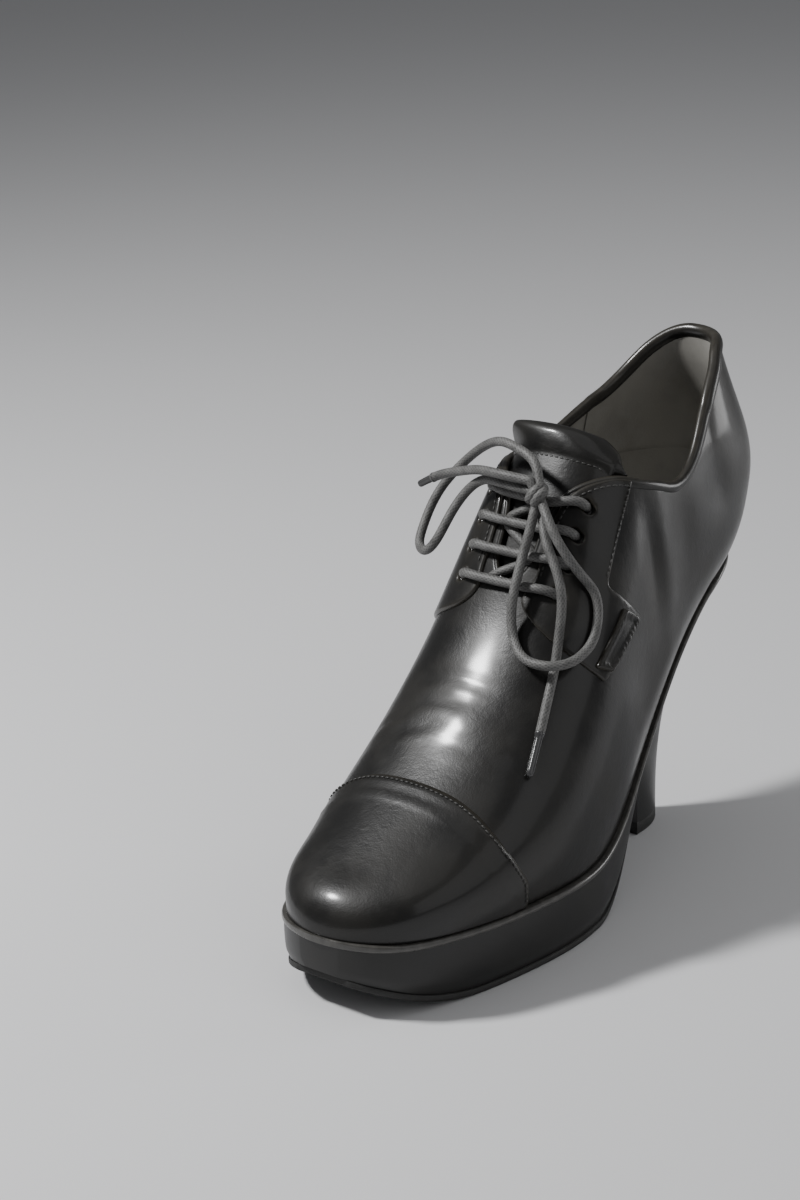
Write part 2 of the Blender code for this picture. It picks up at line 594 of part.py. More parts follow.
class Heel:
    """Covered heel and its wearing piece."""

    BACK_POINTS, BREAST_POINTS, LEVELS = 17, 5, 9

    def __init__(self, sole):
        self.sole = sole

    def seat_outline(self):
        """Outline under the welt, from the lateral breast corner round the back to the medial one."""
        sole = self.sole
        inset = HEEL_SET_BACK
        back_end = sole.back - inset
        points = []
        turn = np.linspace(-1.0, 1.0, self.BACK_POINTS)
        for t in turn:
            side = LATERAL if t <= 0 else MEDIAL
            y = HEEL_BREAST + (back_end - HEEL_BREAST) * math.cos(t * math.pi / 2)
            x = side * max(sole.outline(y, side) - inset, 0.0) if abs(t) > 1e-6 else 0.0
            points.append((x, y))
        return points + self.breast(points[-1], points[0])

    def tip_outline(self, shrink):
        half, depth = TIP_HALF - shrink, TIP_BACK - TIP_FRONT - 2 * shrink
        points = []
        for t in np.linspace(-1.0, 1.0, self.BACK_POINTS):
            angle = t * math.pi / 2
            x = -half * math.copysign(abs(math.sin(angle)) ** TIP_ROUND, angle)
            y = TIP_FRONT + shrink + depth * abs(math.cos(angle)) ** TIP_ROUND
            points.append((x, y))
        return points + self.breast(points[-1], points[0])

    def breast(self, start, end):
        share = np.linspace(0.0, 1.0, self.BREAST_POINTS + 2)[1:-1]
        return [tuple(np.array(start) + s * (np.array(end) - np.array(start))) for s in share]

    def build(self, collection):
        seat, tip = np.array(self.seat_outline()), np.array(self.tip_outline(0.0))
        tip_z = TOP_PIECE + GAP
        seat_z = np.array([self.sole.top(y) - WELT - GAP for _, y in seat])
        rings = []
        for t in np.linspace(0.0, 1.0, self.LEVELS):
            plan = tip + (seat - tip) * t**HEEL_FLARE
            z = tip_z + (seat_z - tip_z) * t
            rings.append(np.column_stack([plan, z]))
        points, faces = cross_sections_solid(rings)
        top = faces.pop()
        points, faces = self.cap_top(points, faces, top)
        add_object("heel", closed_mesh("heel", points, faces), collection, BLACK_LEATHER)
        self.build_top_piece(collection)

    def cap_top(self, points, faces, top):
        """Closes the curved seat with strips across, joining points that face each other."""
        count = self.BACK_POINTS
        half = count // 2
        ring = top[:count]
        for k in range(half):
            a, b = ring[k], ring[k + 1]
            c, d = ring[count - 2 - k], ring[count - 1 - k]
            faces.append(list(dict.fromkeys([a, b, c, d])))
        faces.append([ring[count - 1], *top[count:], ring[0]])
        return points, faces

    def build_top_piece(self, collection):
        rings = []
        for shrink, z in TOP_PIECE_EDGE:
            outline = np.array(self.tip_outline(shrink))
            rings.append(np.column_stack([outline, np.full(len(outline), z)]))
        points, faces = cross_sections_solid(rings)
        add_object("heel_top_piece", closed_mesh("heel_top_piece", points, faces), collection, RUBBER)


class Tongue:
    """Tongue under the lacing gap, with a rolled top edge."""

    ROWS, COLUMNS = 15, 13

    def __init__(self, last):
        self.last = last

    def form_point(self, x, ridge_y, free=0.0):
        """Point at x, across the ridge from the ridge point at ridge_y, turned by how free the tongue is."""
        side = LATERAL if x >= 0 else MEDIAL
        ridge = (ridge_y, float(self.last.ridge_z(ridge_y)))
        near, far = 0.0, FALL_REACH
        for _ in range(BISECTIONS):
            middle = (near + far) / 2
            y, z = ridge[0] + middle * TONGUE_FALL[0], ridge[1] + middle * TONGUE_FALL[1]
            if float(self.last.half_width(y, z, side)) < abs(x):
                near = middle
            else:
                far = middle
        fall = near * (1 + (TONGUE_TURN[side] - 1) * free)
        slip = TONGUE_SLIP * free
        return np.array([x + slip, ridge[0] + fall * TONGUE_FALL[0], ridge[1] + fall * TONGUE_FALL[1]])

    def grid(self):
        rows = np.linspace(TONGUE_FOOT, TONGUE_TOP, self.ROWS)
        columns = np.linspace(-TONGUE_HALF, TONGUE_HALF, self.COLUMNS)
        freedom = smoothstep((rows - TONGUE_FREE_START) / TONGUE_FREE_LENGTH)
        points = np.array([[self.form_point(x, y, free) for x in columns] for y, free in zip(rows, freedom)])
        outward = np.cross(np.gradient(points, axis=1), np.gradient(points, axis=0))
        outward /= np.linalg.norm(outward, axis=2, keepdims=True)
        return rows, points, outward

    def build(self, collection):
        rows, points, outward = self.grid()
        roll = TONGUE_ROLL * smoothstep((rows - TONGUE_ROLL_START) / TONGUE_ROLL_LENGTH)[:, None, None]
        front = points + outward * (roll - WALL - GAP)
        back = points - outward * (WALL + GAP + TONGUE_THICK)
        rings = []
        for row_front, row_back in zip(front, back):
            rings.append(np.concatenate([row_front, row_back[::-1]]))
        solid_points, faces = cross_sections_solid(rings)
        end_strips = self.end_strips(len(rings) - 1)
        mesh = closed_mesh("tongue", solid_points, faces[:-2] + end_strips)
        add_object("tongue", mesh, collection, BLACK_LEATHER)

    def end_strips(self, last_row):
        """Narrow faces across both ends, which follow the tongue's curve."""
        count = 2 * self.COLUMNS
        strips = []
        for row in (0, last_row):
            start = row * count
            for k in range(self.COLUMNS - 1):
                strips.append([start + k, start + k + 1, start + count - 2 - k, start + count - 1 - k])
        return strips


class UpperPieces:
    """Upper wall and the pieces laid over it, all from the form's sheet."""

    def __init__(self, last, surface):
        self.last, self.surface = last, surface

    def eyelet_frame(self, place, side):
        """Centre and outward direction of an eyelet."""
        y, z = place
        step = 0.5

        def point(dy, dz):
            return np.array([side * float(self.last.half_width(y + dy, z + dz, side)), y + dy, z + dz])

        centre = point(0.0, 0.0)
        outward = np.cross(point(step, 0.0) - centre, point(0.0, step) - centre)
        outward *= side / np.linalg.norm(outward)
        return centre, outward

    def eyelet_cutter(self, side, collection):
        """All four holes of one side, as one cutter."""
        work = bmesh.new()
        for place in EYELETS:
            centre, outward = self.eyelet_frame(place, side)
            turn = Vector((0.0, 0.0, 1.0)).rotation_difference(Vector(outward)).to_matrix().to_4x4()
            matrix = Matrix.Translation(Vector(centre) * MM) @ turn
            radius = EYELET_HOLE / 2 * MM
            bmesh.ops.create_cone(work, cap_ends=True, segments=EYELET_SIDES, radius1=radius,
                                  radius2=radius, depth=EYELET_CUT * MM, matrix=matrix)
        name = "eyelet_cutter_lateral" if side == LATERAL else "eyelet_cutter_medial"
        mesh = bpy.data.meshes.new(name)
        work.to_mesh(mesh)
        work.free()
        return hide_cutter(add_object(name, mesh, collection))

    def build_wall(self, collection, cutters):
        points, faces = self.surface.sheet(0.0, lambda station, side: True)
        upper = add_object("upper", mesh_from("upper", points, faces), collection, BLACK_LEATHER)
        solidify(upper, WALL, -1.0)
        for cutter in cutters:
            boolean(upper, cutter, "DIFFERENCE")

    def overlay(self, name, keep, cutters, collection, lift=GAP, thickness=OVERLAY):
        """Piece between two larger forms, cut to its outline."""
        points, faces = self.surface.sheet(lift, keep)
        piece = add_object(name, mesh_from(name, points, faces), collection, BLACK_LEATHER)
        solidify(piece, thickness, 1.0)
        for cutter, operation in cutters:
            boolean(piece, cutter, operation)
        return piece

    def build_toe_cap(self, collection, cutter_collection):
        outline = [*TOE_CAP_LINE, *TOE_CAP_FRONT]
        cutter = prism("toe_cap_outline", outline, -CUT_REACH, CUT_REACH, cutter_collection)

        def keep(station, side):
            return station < EYESTAY_STRIPS[0]

        self.overlay("toe_cap", keep, [(cutter, "INTERSECT")], collection)

    def build_eyestays(self, collection, cutter_collection, holes):
        first, last_station = EYESTAY_STRIPS
        lateral_outline = [EYESTAY_BACK_TOP, *EYESTAY_BEYOND, *EYESTAY_FRONT_L[::-1], TAB_LOWER, TAB_UPPER,
                           EYESTAY_BACK_FOOT]
        medial_outline = [EYESTAY_BACK_TOP, *EYESTAY_BEYOND, *EYESTAY_FRONT_M[::-1], EYESTAY_BACK_FOOT_M]
        for name, side, outline, hole in (
            ("eyestay_lateral", LATERAL, lateral_outline, holes[0]),
            ("eyestay_medial", MEDIAL, medial_outline, holes[1]),
        ):
            inner, outer = side * EYESTAY_EDGE, side * CUT_REACH
            cutter = prism(name + "_outline", outline, inner, outer, cutter_collection)

            def keep(station, face_side, wanted=side):
                return face_side == wanted and first <= station < last_station

            self.overlay(name, keep, [(cutter, "INTERSECT"), (hole, "DIFFERENCE")], collection)

    def build_tab_bar(self, collection, cutter_collection):
        first, last_station = EYESTAY_STRIPS
        cutter = prism("tab_bar_outline", TAB_BAR, 0.0, CUT_REACH, cutter_collection)

        def keep(station, side):
            return side == LATERAL and first <= station < last_station

        lift = 2 * GAP + OVERLAY
        self.overlay("side_tab_bar", keep, [(cutter, "INTERSECT")], collection, lift=lift)


class Lace:
    """Bars over the lacing gap, and the bow."""

    BAR_POINTS = 9
    CROWN_RADIUS = 70.0   # of the form across the lacing gap

    def __init__(self, last, tongue):
        self.last, self.tongue = last, tongue

    def tube(self, name, route, collection):
        """Round cord along a smooth curve through the route's points."""
        route = np.asarray(route, float)
        marks = np.concatenate([[0.0], np.cumsum(np.linalg.norm(np.diff(route, axis=0), axis=1))])
        count = max(int(round(marks[-1] / TUBE_SPACING)) + 1, 4)
        along = np.linspace(0.0, marks[-1], count)
        points = np.stack([spline(marks, route[:, k])(along) for k in range(3)], axis=-1)
        curve = bpy.data.curves.new(name, "CURVE")
        curve.dimensions = "3D"
        curve.bevel_depth = LACE / 2 * MM
        curve.bevel_resolution = 2
        curve.use_fill_caps = True
        line = curve.splines.new("POLY")
        line.points.add(count - 1)
        for target, point in zip(line.points, points):
            target.co = (*(point * MM), 1.0)
        return add_object(name, curve, collection, WAXED_CORD)

    def bar_point(self, x, ridge_y, sag):
        """Middle of a bar at x, over the eyestays or nearer the tongue inside the gap."""
        pull = sag * max(1 - ((x - SAG_MIDDLE) / SAG_HALF) ** 2, 0.0)
        point = self.tongue.form_point(x, ridge_y - pull * SAG_SHARE)
        lift = GAP + OVERLAY + 2 * GAP + LACE / 2
        if abs(x) < THROAT_HALF:
            lift -= LACE_BAR_DIP
        outward = np.array([x / self.CROWN_RADIUS, -TONGUE_FALL[0], -TONGUE_FALL[1]])
        return point + lift * outward / np.linalg.norm(outward)

    def build_bars(self, collection):
        across = np.linspace(-LACE_BAR_HALF, LACE_BAR_HALF, self.BAR_POINTS)
        for number, (eyelet, sag) in enumerate(zip(EYELETS, LACE_BAR_SAG), start=1):
            ridge_y = self.ridge_for(*eyelet) - LACE_BAR_DROP
            route = [self.bar_point(x, ridge_y, sag) for x in across]
            self.tube(f"lace_bar_{number}", route, collection)

    def ridge_for(self, y, z):
        """Ridge point that faces an eyelet across the form."""
        near, far = y - LACE_BAR_HALF, y
        for _ in range(BISECTIONS):
            middle = (near + far) / 2
            reached = self.tongue.form_point(LACE_BAR_HALF, middle)
            if reached[2] < z:
                near = middle
            else:
                far = middle
        return near

    def build_knot(self, collection):
        mesh = bpy.data.meshes.new("lace_knot")
        work = bmesh.new()
        bmesh.ops.create_uvsphere(work, u_segments=12, v_segments=8, radius=0.5)
        size = Vector(KNOT_SIZE) * MM
        bmesh.ops.scale(work, vec=size, verts=work.verts)
        bmesh.ops.translate(work, vec=Vector(KNOT_CENTRE) * MM, verts=work.verts)
        work.to_mesh(mesh)
        work.free()
        mesh.shade_smooth()
        add_object("lace_knot", mesh, collection, WAXED_CORD)

    def build_bow(self, collection):
        self.build_knot(collection)
        self.tube("lace_loop_left", LOOP_LEFT, collection)
        self.tube("lace_loop_right", LOOP_RIGHT, collection)
        self.tube("lace_end_left", END_LEFT, collection)
        self.tube("lace_end_right", END_RIGHT, collection)


def clear_scene():
    for obj in list(bpy.data.objects):
        bpy.data.objects.remove(obj, do_unlink=True)


def new_collection(name):
    collection = bpy.data.collections.new(name)
    bpy.context.scene.collection.children.link(collection)
    return collection


def main():
    clear_scene()
    boot, cutters = new_collection("ankle_boot"), new_collection("cutters")
    last = Last()
    sole = Sole(last)
    sole.build(boot)
    sole.build_insole(boot)
    Heel(sole).build(boot)
    pieces = UpperPieces(last, FormSurface(last))
    holes = [pieces.eyelet_cutter(side, cutters) for side in SIDES]
    pieces.build_wall(boot, holes)
    pieces.build_toe_cap(boot, cutters)
    pieces.build_eyestays(boot, cutters, holes)
    pieces.build_tab_bar(boot, cutters)
    tongue = Tongue(last)
    tongue.build(boot)
    lace = Lace(last, tongue)
    lace.build_bars(boot)
    lace.build_bow(boot)


main()
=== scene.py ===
"""Looks of a left ankle boot in glossy black leather, with a rolled collar, a laced bow and a covered heel.

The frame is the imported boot: toe at -Y, outer side at +X, floor at Z = 0. Sizes below are in millimetres,
and meshes are written in metres.
"""
from __future__ import annotations

import json
import logging
import math
from dataclasses import dataclass, field
from enum import Enum
from functools import cached_property
from typing import Callable, Iterable, Sequence

import bmesh
import bpy
import numpy as np
from mathutils import Matrix, Vector
from mathutils.geometry import delaunay_2d_cdt

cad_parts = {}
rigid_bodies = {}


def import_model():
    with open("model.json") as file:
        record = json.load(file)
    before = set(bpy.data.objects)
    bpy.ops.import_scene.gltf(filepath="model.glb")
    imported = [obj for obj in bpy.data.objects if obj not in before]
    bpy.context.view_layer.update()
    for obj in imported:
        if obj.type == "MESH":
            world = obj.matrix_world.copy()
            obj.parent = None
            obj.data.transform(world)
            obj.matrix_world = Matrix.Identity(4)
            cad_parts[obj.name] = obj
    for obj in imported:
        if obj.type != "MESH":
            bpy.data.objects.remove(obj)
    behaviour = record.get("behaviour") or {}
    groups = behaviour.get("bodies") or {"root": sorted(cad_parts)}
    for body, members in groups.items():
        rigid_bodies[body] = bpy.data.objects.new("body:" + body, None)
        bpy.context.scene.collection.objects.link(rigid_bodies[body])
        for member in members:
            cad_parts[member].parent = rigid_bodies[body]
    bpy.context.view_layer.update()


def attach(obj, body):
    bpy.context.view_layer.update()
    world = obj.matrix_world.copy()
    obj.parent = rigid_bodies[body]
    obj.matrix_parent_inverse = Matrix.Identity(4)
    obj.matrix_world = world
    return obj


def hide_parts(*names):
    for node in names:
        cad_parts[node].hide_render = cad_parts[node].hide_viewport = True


LOG = logging.getLogger("ankle_boot")
MM = 0.001
BODY = "root"

Mesh = bpy.types.Mesh
Object = bpy.types.Object
NodeTree = bpy.types.NodeTree
Points = np.ndarray
Route = Sequence[tuple[float, float, float]]
Outline = Sequence[tuple[float, float]]


class Side(Enum):
    """Sides of a left boot, with the sign of X."""

    LATERAL = 1
    MEDIAL = -1


class Slot(Enum):
    """Material slots of the record."""

    LEATHER = "leather"
    LINING = "lining"
    SOLE = "sole"
    CORD = "cord"


# Half sections of the last: y, foot lateral and medial, foot z, wide lateral and medial, wide z, ridge z,
# fullness
SECTIONS = np.array(
    [
        (-85.5, 0.0, 0.0, 27.5, 0.0, 0.0, 27.5, 27.5, 2.2),
        (-81.0, 15.8, 15.2, 27.0, 16.1, 15.3, 31.4, 38.0, 1.85),
        (-70.0, 27.0, 25.2, 26.3, 28.0, 25.2, 34.0, 43.8, 2.2),
        (-55.0, 33.6, 31.0, 25.6, 35.0, 31.2, 35.8, 51.7, 2.1),
        (-38.0, 38.2, 34.6, 25.0, 40.2, 35.8, 39.0, 62.0, 2.2),
        (-18.0, 41.8, 37.2, 25.0, 44.0, 39.4, 42.0, 77.0, 2.2),
        (0.0, 43.0, 38.0, 25.0, 45.0, 41.0, 46.0, 94.0, 2.2),
        (18.0, 41.0, 36.4, 26.6, 43.5, 40.4, 52.0, 116.0, 2.25),
        (35.0, 37.0, 31.6, 33.5, 40.5, 38.0, 60.0, 143.0, 2.3),
        (52.0, 32.5, 27.8, 46.0, 37.0, 35.0, 71.0, 168.0, 2.3),
        (70.0, 29.0, 25.8, 63.0, 34.6, 33.0, 86.0, 188.0, 2.2),
        (90.0, 26.4, 25.2, 81.0, 33.2, 32.2, 103.0, 193.0, 2.05),
        (106.0, 25.0, 24.5, 92.5, 33.0, 32.2, 113.0, 191.0, 2.0),
    ]
)
# Columns of the sections: in a pair, the lateral column comes first
COL_Y, COL_FOOT, COL_FOOT_Z, COL_WIDE, COL_WIDE_Z, COL_RIDGE_Z, COL_FULL = 0, 1, 3, 4, 6, 7, 8

# Side view of the topline: y, lateral z, medial z
TOPLINE = np.array(
    [
        (44.0, 151.0, 149.5),
        (52.0, 151.0, 150.5),
        (60.0, 148.6, 150.2),
        (72.0, 144.8, 149.8),
        (80.0, 142.6, 150.8),
        (86.0, 143.9, 152.0),
        (94.0, 149.8, 154.4),
        (102.0, 159.1, 157.0),
        (109.0, 166.3, 158.8),
        (117.0, 172.0, 160.2),
        (124.0, 176.4, 163.4),
        (130.0, 180.5, 168.6),
        (134.5, 182.2, 174.2),
        (138.3, 182.9, 179.2),
        (141.0, 183.0, 183.0),
    ]
)

# Back line of the upper: height above the foot edge, distance behind the heel axis
BACK_LINE = np.array(
    [(0.0, 31.5), (8.0, 35.0), (20.0, 41.3), (34.0, 46.2), (55.0, 40.2), (70.0, 35.0), (82.0, 33.3),
     (110.0, 31.0)]
)

# Foot edge through the waist and round the heel seat: y, z
SEAT_LINE = np.array(
    [(52.0, 46.0), (70.0, 63.0), (90.0, 81.0), (106.0, 92.5), (122.0, 100.0), (144.0, 105.0)]
)

# Direction in side view, (y, z), that the instep's cross lines fall in
FALL = (0.85, -0.53)


def unit(vectors: Points) -> Points:
    """Vectors of length one."""
    return vectors / np.maximum(np.linalg.norm(vectors, axis=-1, keepdims=True), 1e-12)


def smoothstep(t: Points) -> Points:
    """Soft step from 0 to 1."""
    t = np.clip(t, 0.0, 1.0)
    return t * t * (3 - 2 * t)


def round_off(t: Points) -> Points:
    """Rise from 0 to 1 along a quarter circle, steep at first."""
    return np.sqrt(np.maximum(1 - (1 - np.clip(t, 0.0, 1.0)) ** 2, 0.0))


def circle(count: int) -> Points:
    """Even angles round a full turn."""
    return np.linspace(0.0, 2 * math.pi, count, endpoint=False)


def interpolate(marks: Points, places: Points, points: Points) -> Points:
    """Points at marks along a line whose points lie at the given places."""
    return np.stack([np.interp(marks, places, column) for column in points.T], axis=-1)


def standing(section: Points, y: float, side: Side) -> Points:
    """Half section (x, z) stood up at a station, on its side of the boot."""
    return np.stack([side.value * section[:, 0], np.full(len(section), y), section[:, 1]], axis=-1)


def spline(xs: Sequence[float], ys: Sequence[float]) -> Callable[[Points], Points]:
    """Natural cubic through the points, straight beyond its ends.

    Args:
        xs: Rising places of the points.
        ys: Their values.

    Returns:
        The curve as a function.
    """
    xs, ys = np.asarray(xs, float), np.asarray(ys, float)
    count = len(xs)
    step = np.diff(xs)
    rise = np.diff(ys) / step
    matrix = np.eye(count)
    right = np.zeros(count)
    for i in range(1, count - 1):
        matrix[i, i - 1:i + 2] = step[i - 1], 2 * (step[i - 1] + step[i]), step[i]
        right[i] = 6 * (rise[i] - rise[i - 1])
    bend = np.linalg.solve(matrix, right)
    first_slope = rise[0] - step[0] * bend[1] / 6
    last_slope = rise[-1] + step[-1] * bend[-2] / 6

    def value(x: Points) -> Points:
        """Height of the curve at x."""
        x = np.asarray(x, float)
        i = np.clip(np.searchsorted(xs, x) - 1, 0, count - 2)
        t = x - xs[i]
        slope = rise[i] - step[i] * (2 * bend[i] + bend[i + 1]) / 6
        inside = ys[i] + slope * t + bend[i] / 2 * t**2 + (bend[i + 1] - bend[i]) / (6 * step[i]) * t**3
        before = ys[0] + first_slope * (x - xs[0])
        after = ys[-1] + last_slope * (x - xs[-1])
        return np.where(x < xs[0], before, np.where(x > xs[-1], after, inside))

    return value


def round_ended(xs: Sequence[float], ys: Sequence[float]) -> Callable[[Points], Points]:
    """Spline through the squares, so that a width that starts at nothing opens as a round end does."""
    squares = spline(xs, np.asarray(ys, float) ** 2)
    return lambda x: np.sqrt(np.maximum(squares(x), 0.0))


def arc_lengths(points: Points) -> Points:
    """Distance along a polyline at each of its points."""
    return np.concatenate([[0.0], np.cumsum(np.linalg.norm(np.diff(points, axis=0), axis=1))])


def resample(points: Points, count: int) -> Points:
    """Points at even distances along a polyline."""
    length = arc_lengths(points)
    if length[-1] < 1e-9:
        return np.repeat(points[:1], count, axis=0)
    return interpolate(np.linspace(0.0, length[-1], count), length, points)


def smooth_route(route: Route, spacing: float) -> Points:
    """Evenly spaced points on a smooth curve through a route's points."""
    points = np.asarray(route, float)
    marks = arc_lengths(points)
    fine = np.linspace(0.0, marks[-1], 40 * len(points))
    curve = np.stack([spline(marks, column)(fine) for column in points.T], axis=-1)
    length = arc_lengths(curve)[-1]
    return resample(curve, max(int(round(length / spacing)) + 1, 4))


def rounded(outline: Outline, radius: float, steps: int = 6) -> Points:
    """Closed outline with each corner turned into a small curve."""
    corners = np.asarray(outline, float)
    result = []
    for before, corner, after in zip(np.roll(corners, 1, axis=0), corners, np.roll(corners, -1, axis=0)):
        start = corner + unit(before - corner) * min(radius, np.linalg.norm(before - corner) / 2)
        end = corner + unit(after - corner) * min(radius, np.linalg.norm(after - corner) / 2)
        for t in np.linspace(0.0, 1.0, steps):
            result.append((1 - t) ** 2 * start + 2 * t * (1 - t) * corner + t**2 * end)
    return np.array(result)


def densify(outline: Points, spacing: float) -> Points:
    """Closed outline with points at an even spacing."""
    closed = np.concatenate([outline, outline[:1]])
    count = max(int(arc_lengths(closed)[-1] / spacing), 8)
    return resample(closed, count + 1)[:-1]


def densify_open(line: Points, spacing: float) -> Points:
    """Open line with points at an even spacing."""
    points = np.asarray(line, float)
    return resample(points, max(int(arc_lengths(points)[-1] / spacing), 2) + 1)


def inside(points: Points, outline: Points) -> Points:
    """Which of the points lie inside a closed outline."""
    x, y = points[:, 0][:, None], points[:, 1][:, None]
    a, b = outline, np.roll(outline, -1, axis=0)
    crosses = (a[:, 1] > y) != (b[:, 1] > y)
    rise = np.where(np.abs(b[:, 1] - a[:, 1]) < 1e-12, 1e-12, b[:, 1] - a[:, 1])
    at = a[:, 0] + (y - a[:, 1]) * (b[:, 0] - a[:, 0]) / rise
    return (np.sum(crosses & (x < at), axis=1) % 2).astype(bool)


def nearest(points: Points, others: Points) -> Points:
    """Distance from each point to the nearest of the others."""
    result = np.empty(len(points))
    for start in range(0, len(points), 2000):
        block = points[start:start + 2000]
        result[start:start + 2000] = np.linalg.norm(block[:, None] - others[None], axis=2).min(axis=1)
    return result


@dataclass
class Last:
    """The form that the upper is drawn over, as functions of the tables."""

    toe_tip: float = -85.5
    heel_axis: float = 106.0
    heel_squareness: float = 2.15
    back_reach: float = 35.0
    throat_start: float = 20.0
    throat_round: float = 7.0
    throat_half: float = 7.5
    corner_round: float = 4.0
    profile_points: int = 240
    fall_reach: float = 40.0
    halvings: int = 40

    def __post_init__(self) -> None:
        """Turns the tables into curves."""
        y = SECTIONS[:, COL_Y]
        self.foot_z = spline(y, SECTIONS[:, COL_FOOT_Z])
        self.seat_z = spline(SEAT_LINE[:, 0], SEAT_LINE[:, 1])
        self.foot = {side: round_ended(y, SECTIONS[:, COL_FOOT + k]) for k, side in enumerate(Side)}
        self.wide = {side: round_ended(y, SECTIONS[:, COL_WIDE + k]) for k, side in enumerate(Side)}
        self.wide_rise = round_ended(y, SECTIONS[:, COL_WIDE_Z] - SECTIONS[:, COL_FOOT_Z])
        self.ridge_rise = round_ended(y, SECTIONS[:, COL_RIDGE_Z] - SECTIONS[:, COL_FOOT_Z])
        self.fullness = spline(y, SECTIONS[:, COL_FULL])
        self.topline = {side: spline(TOPLINE[:, 0], TOPLINE[:, 1 + k]) for k, side in enumerate(Side)}
        self.back = spline(BACK_LINE[:, 0], BACK_LINE[:, 1])
        self.heel_end = self.heel_axis + float(self.back(0.0))

    def edge_z(self, y: Points) -> Points:
        """Height of the foot edge, from toe to back."""
        return np.where(np.asarray(y) < SEAT_LINE[2, 0], self.foot_z(y), self.seat_z(y))

    def plan_half(self, y: Points, side: Side) -> Points:
        """Half width of the foot edge in plan, closed round the heel."""
        behind = np.clip((np.asarray(y, float) - self.heel_axis) / float(self.back(0.0)), 0.0, 1.0)
        power = self.heel_squareness
        heel = self.foot[side](self.heel_axis) * (1 - behind**power) ** (1 / power)
        return np.where(np.asarray(y) > self.heel_axis, heel, self.foot[side](np.minimum(y, self.heel_axis)))

    def profile(self, y: float, side: Side) -> Points:
        """Closed half section at y, from the foot edge to the ridge, as (x, z)."""
        foot, wide = self.foot[side](y), self.wide[side](y)
        foot_z = self.foot_z(y)
        wide_z, ridge_z = foot_z + self.wide_rise(y), foot_z + self.ridge_rise(y)
        power = 2 / self.fullness(y)
        low = np.linspace(1.0, 0.0, self.profile_points // 3)
        lower = np.stack([wide - (wide - foot) * low**2, wide_z - (wide_z - foot_z) * low], axis=-1)
        turn = np.linspace(0.0, math.pi / 2, self.profile_points)[1:]
        upper_x = wide * np.cos(turn) ** power
        upper_z = wide_z + (ridge_z - wide_z) * np.sin(turn) ** power
        upper = np.stack([upper_x, upper_z], axis=-1)
        upper[-1, 0] = 0.0
        return np.concatenate([lower, upper])

    def half_width(self, y: Points, z: Points, side: Side) -> Points:
        """Half width of the closed form at (y, z), above the widest line."""
        foot_z = self.foot_z(y)
        wide_z, ridge_z = foot_z + self.wide_rise(y), foot_z + self.ridge_rise(y)
        share = np.clip((z - wide_z) / (ridge_z - wide_z), 0.0, 1.0)
        full = self.fullness(y)
        return self.wide[side](y) * (1 - share**full) ** (1 / full)

    def ridge_z(self, y: Points) -> Points:
        """Height of the ridge over the foot."""
        return self.foot_z(y) + self.ridge_rise(y)

    def top_z(self, y: float, side: Side, half: float | None = None) -> float:
        """Height of a top edge: the lacing gap's edge, softly joined to the topline.

        Args:
            y: Station.
            side: Side of the boot.
            half: Half width of the gap, or None for the upper's own rounded gap.

        Returns:
            The height.
        """
        if half is None:
            opening = min((y - self.throat_start) / self.throat_round, 1.0)
            half = self.throat_half * math.sqrt(max(1 - (1 - opening) ** 2, 0.0))
        upper = self.profile(y, side)[self.profile_points // 3:]
        gap_z = float(np.interp(-half, -upper[:, 0], upper[:, 1]))
        line_z = float(self.topline[side](y))
        low, high = min(gap_z, line_z), max(gap_z, line_z)
        return low - self.corner_round * math.log1p(math.exp((low - high) / self.corner_round))

    def rib(self, y: float, side: Side) -> Points:
        """Half section at y, ended at the ridge, the lacing gap or the topline."""
        points = self.profile(y, side)
        if y > self.throat_start:
            top = self.top_z(y, side)
            k = int(np.searchsorted(points[:, 1], top))
            share = (top - points[k - 1, 1]) / (points[k, 1] - points[k - 1, 1])
            points = np.concatenate([points[:k], [points[k - 1] + share * (points[k] - points[k - 1])]])
        return standing(points, y, side)

    def heel_rib(self, angle: float, side: Side) -> Points:
        """Rib of the heel, at an angle from straight back (0) to the side (a quarter turn)."""
        across, along = math.sin(angle), math.cos(angle)
        side_section = self.profile(self.heel_axis, side)
        section_rise = side_section[:, 1] - side_section[0, 1]
        power = self.heel_squareness

        def reach(rise: Points) -> Points:
            """Distance from the heel axis at a height above the foot edge."""
            half = np.interp(rise, section_rise, side_section[:, 0])
            return ((across / half) ** power + (along / self.back(rise)) ** power) ** (-1 / power)

        foot_z = self.seat_z(self.heel_axis + reach(0.0) * along)
        top_z = self.topline[side](self.heel_axis + self.back_reach * along)
        rise = np.linspace(0.0, 1.0, self.profile_points) * (top_z - foot_z)
        distance = reach(rise)
        x = side.value * distance * across
        return np.stack([x, self.heel_axis + distance * along, foot_z + rise], axis=-1)

    def over_ridge(self, x: Points, ridge_y: Points) -> Points:
        """Points of the closed form at x, found by falling back from the ridge.

        Args:
            x: Places across the foot.
            ridge_y: Y of the ridge point that each fall starts from.

        Returns:
            Points on the form.
        """
        x, ridge_y = np.broadcast_arrays(np.asarray(x, float), np.asarray(ridge_y, float))
        ridge_z = self.ridge_z(ridge_y)
        near, far = np.zeros(x.shape), np.full(x.shape, self.fall_reach)
        for _ in range(self.halvings):
            middle = (near + far) / 2
            y, z = ridge_y + middle * FALL[0], ridge_z + middle * FALL[1]
            half = np.where(
                x >= 0, self.half_width(y, z, Side.LATERAL), self.half_width(y, z, Side.MEDIAL)
            )
            near, far = np.where(half < np.abs(x), middle, near), np.where(half < np.abs(x), far, middle)
        return np.stack([x, ridge_y + near * FALL[0], ridge_z + near * FALL[1]], axis=-1)


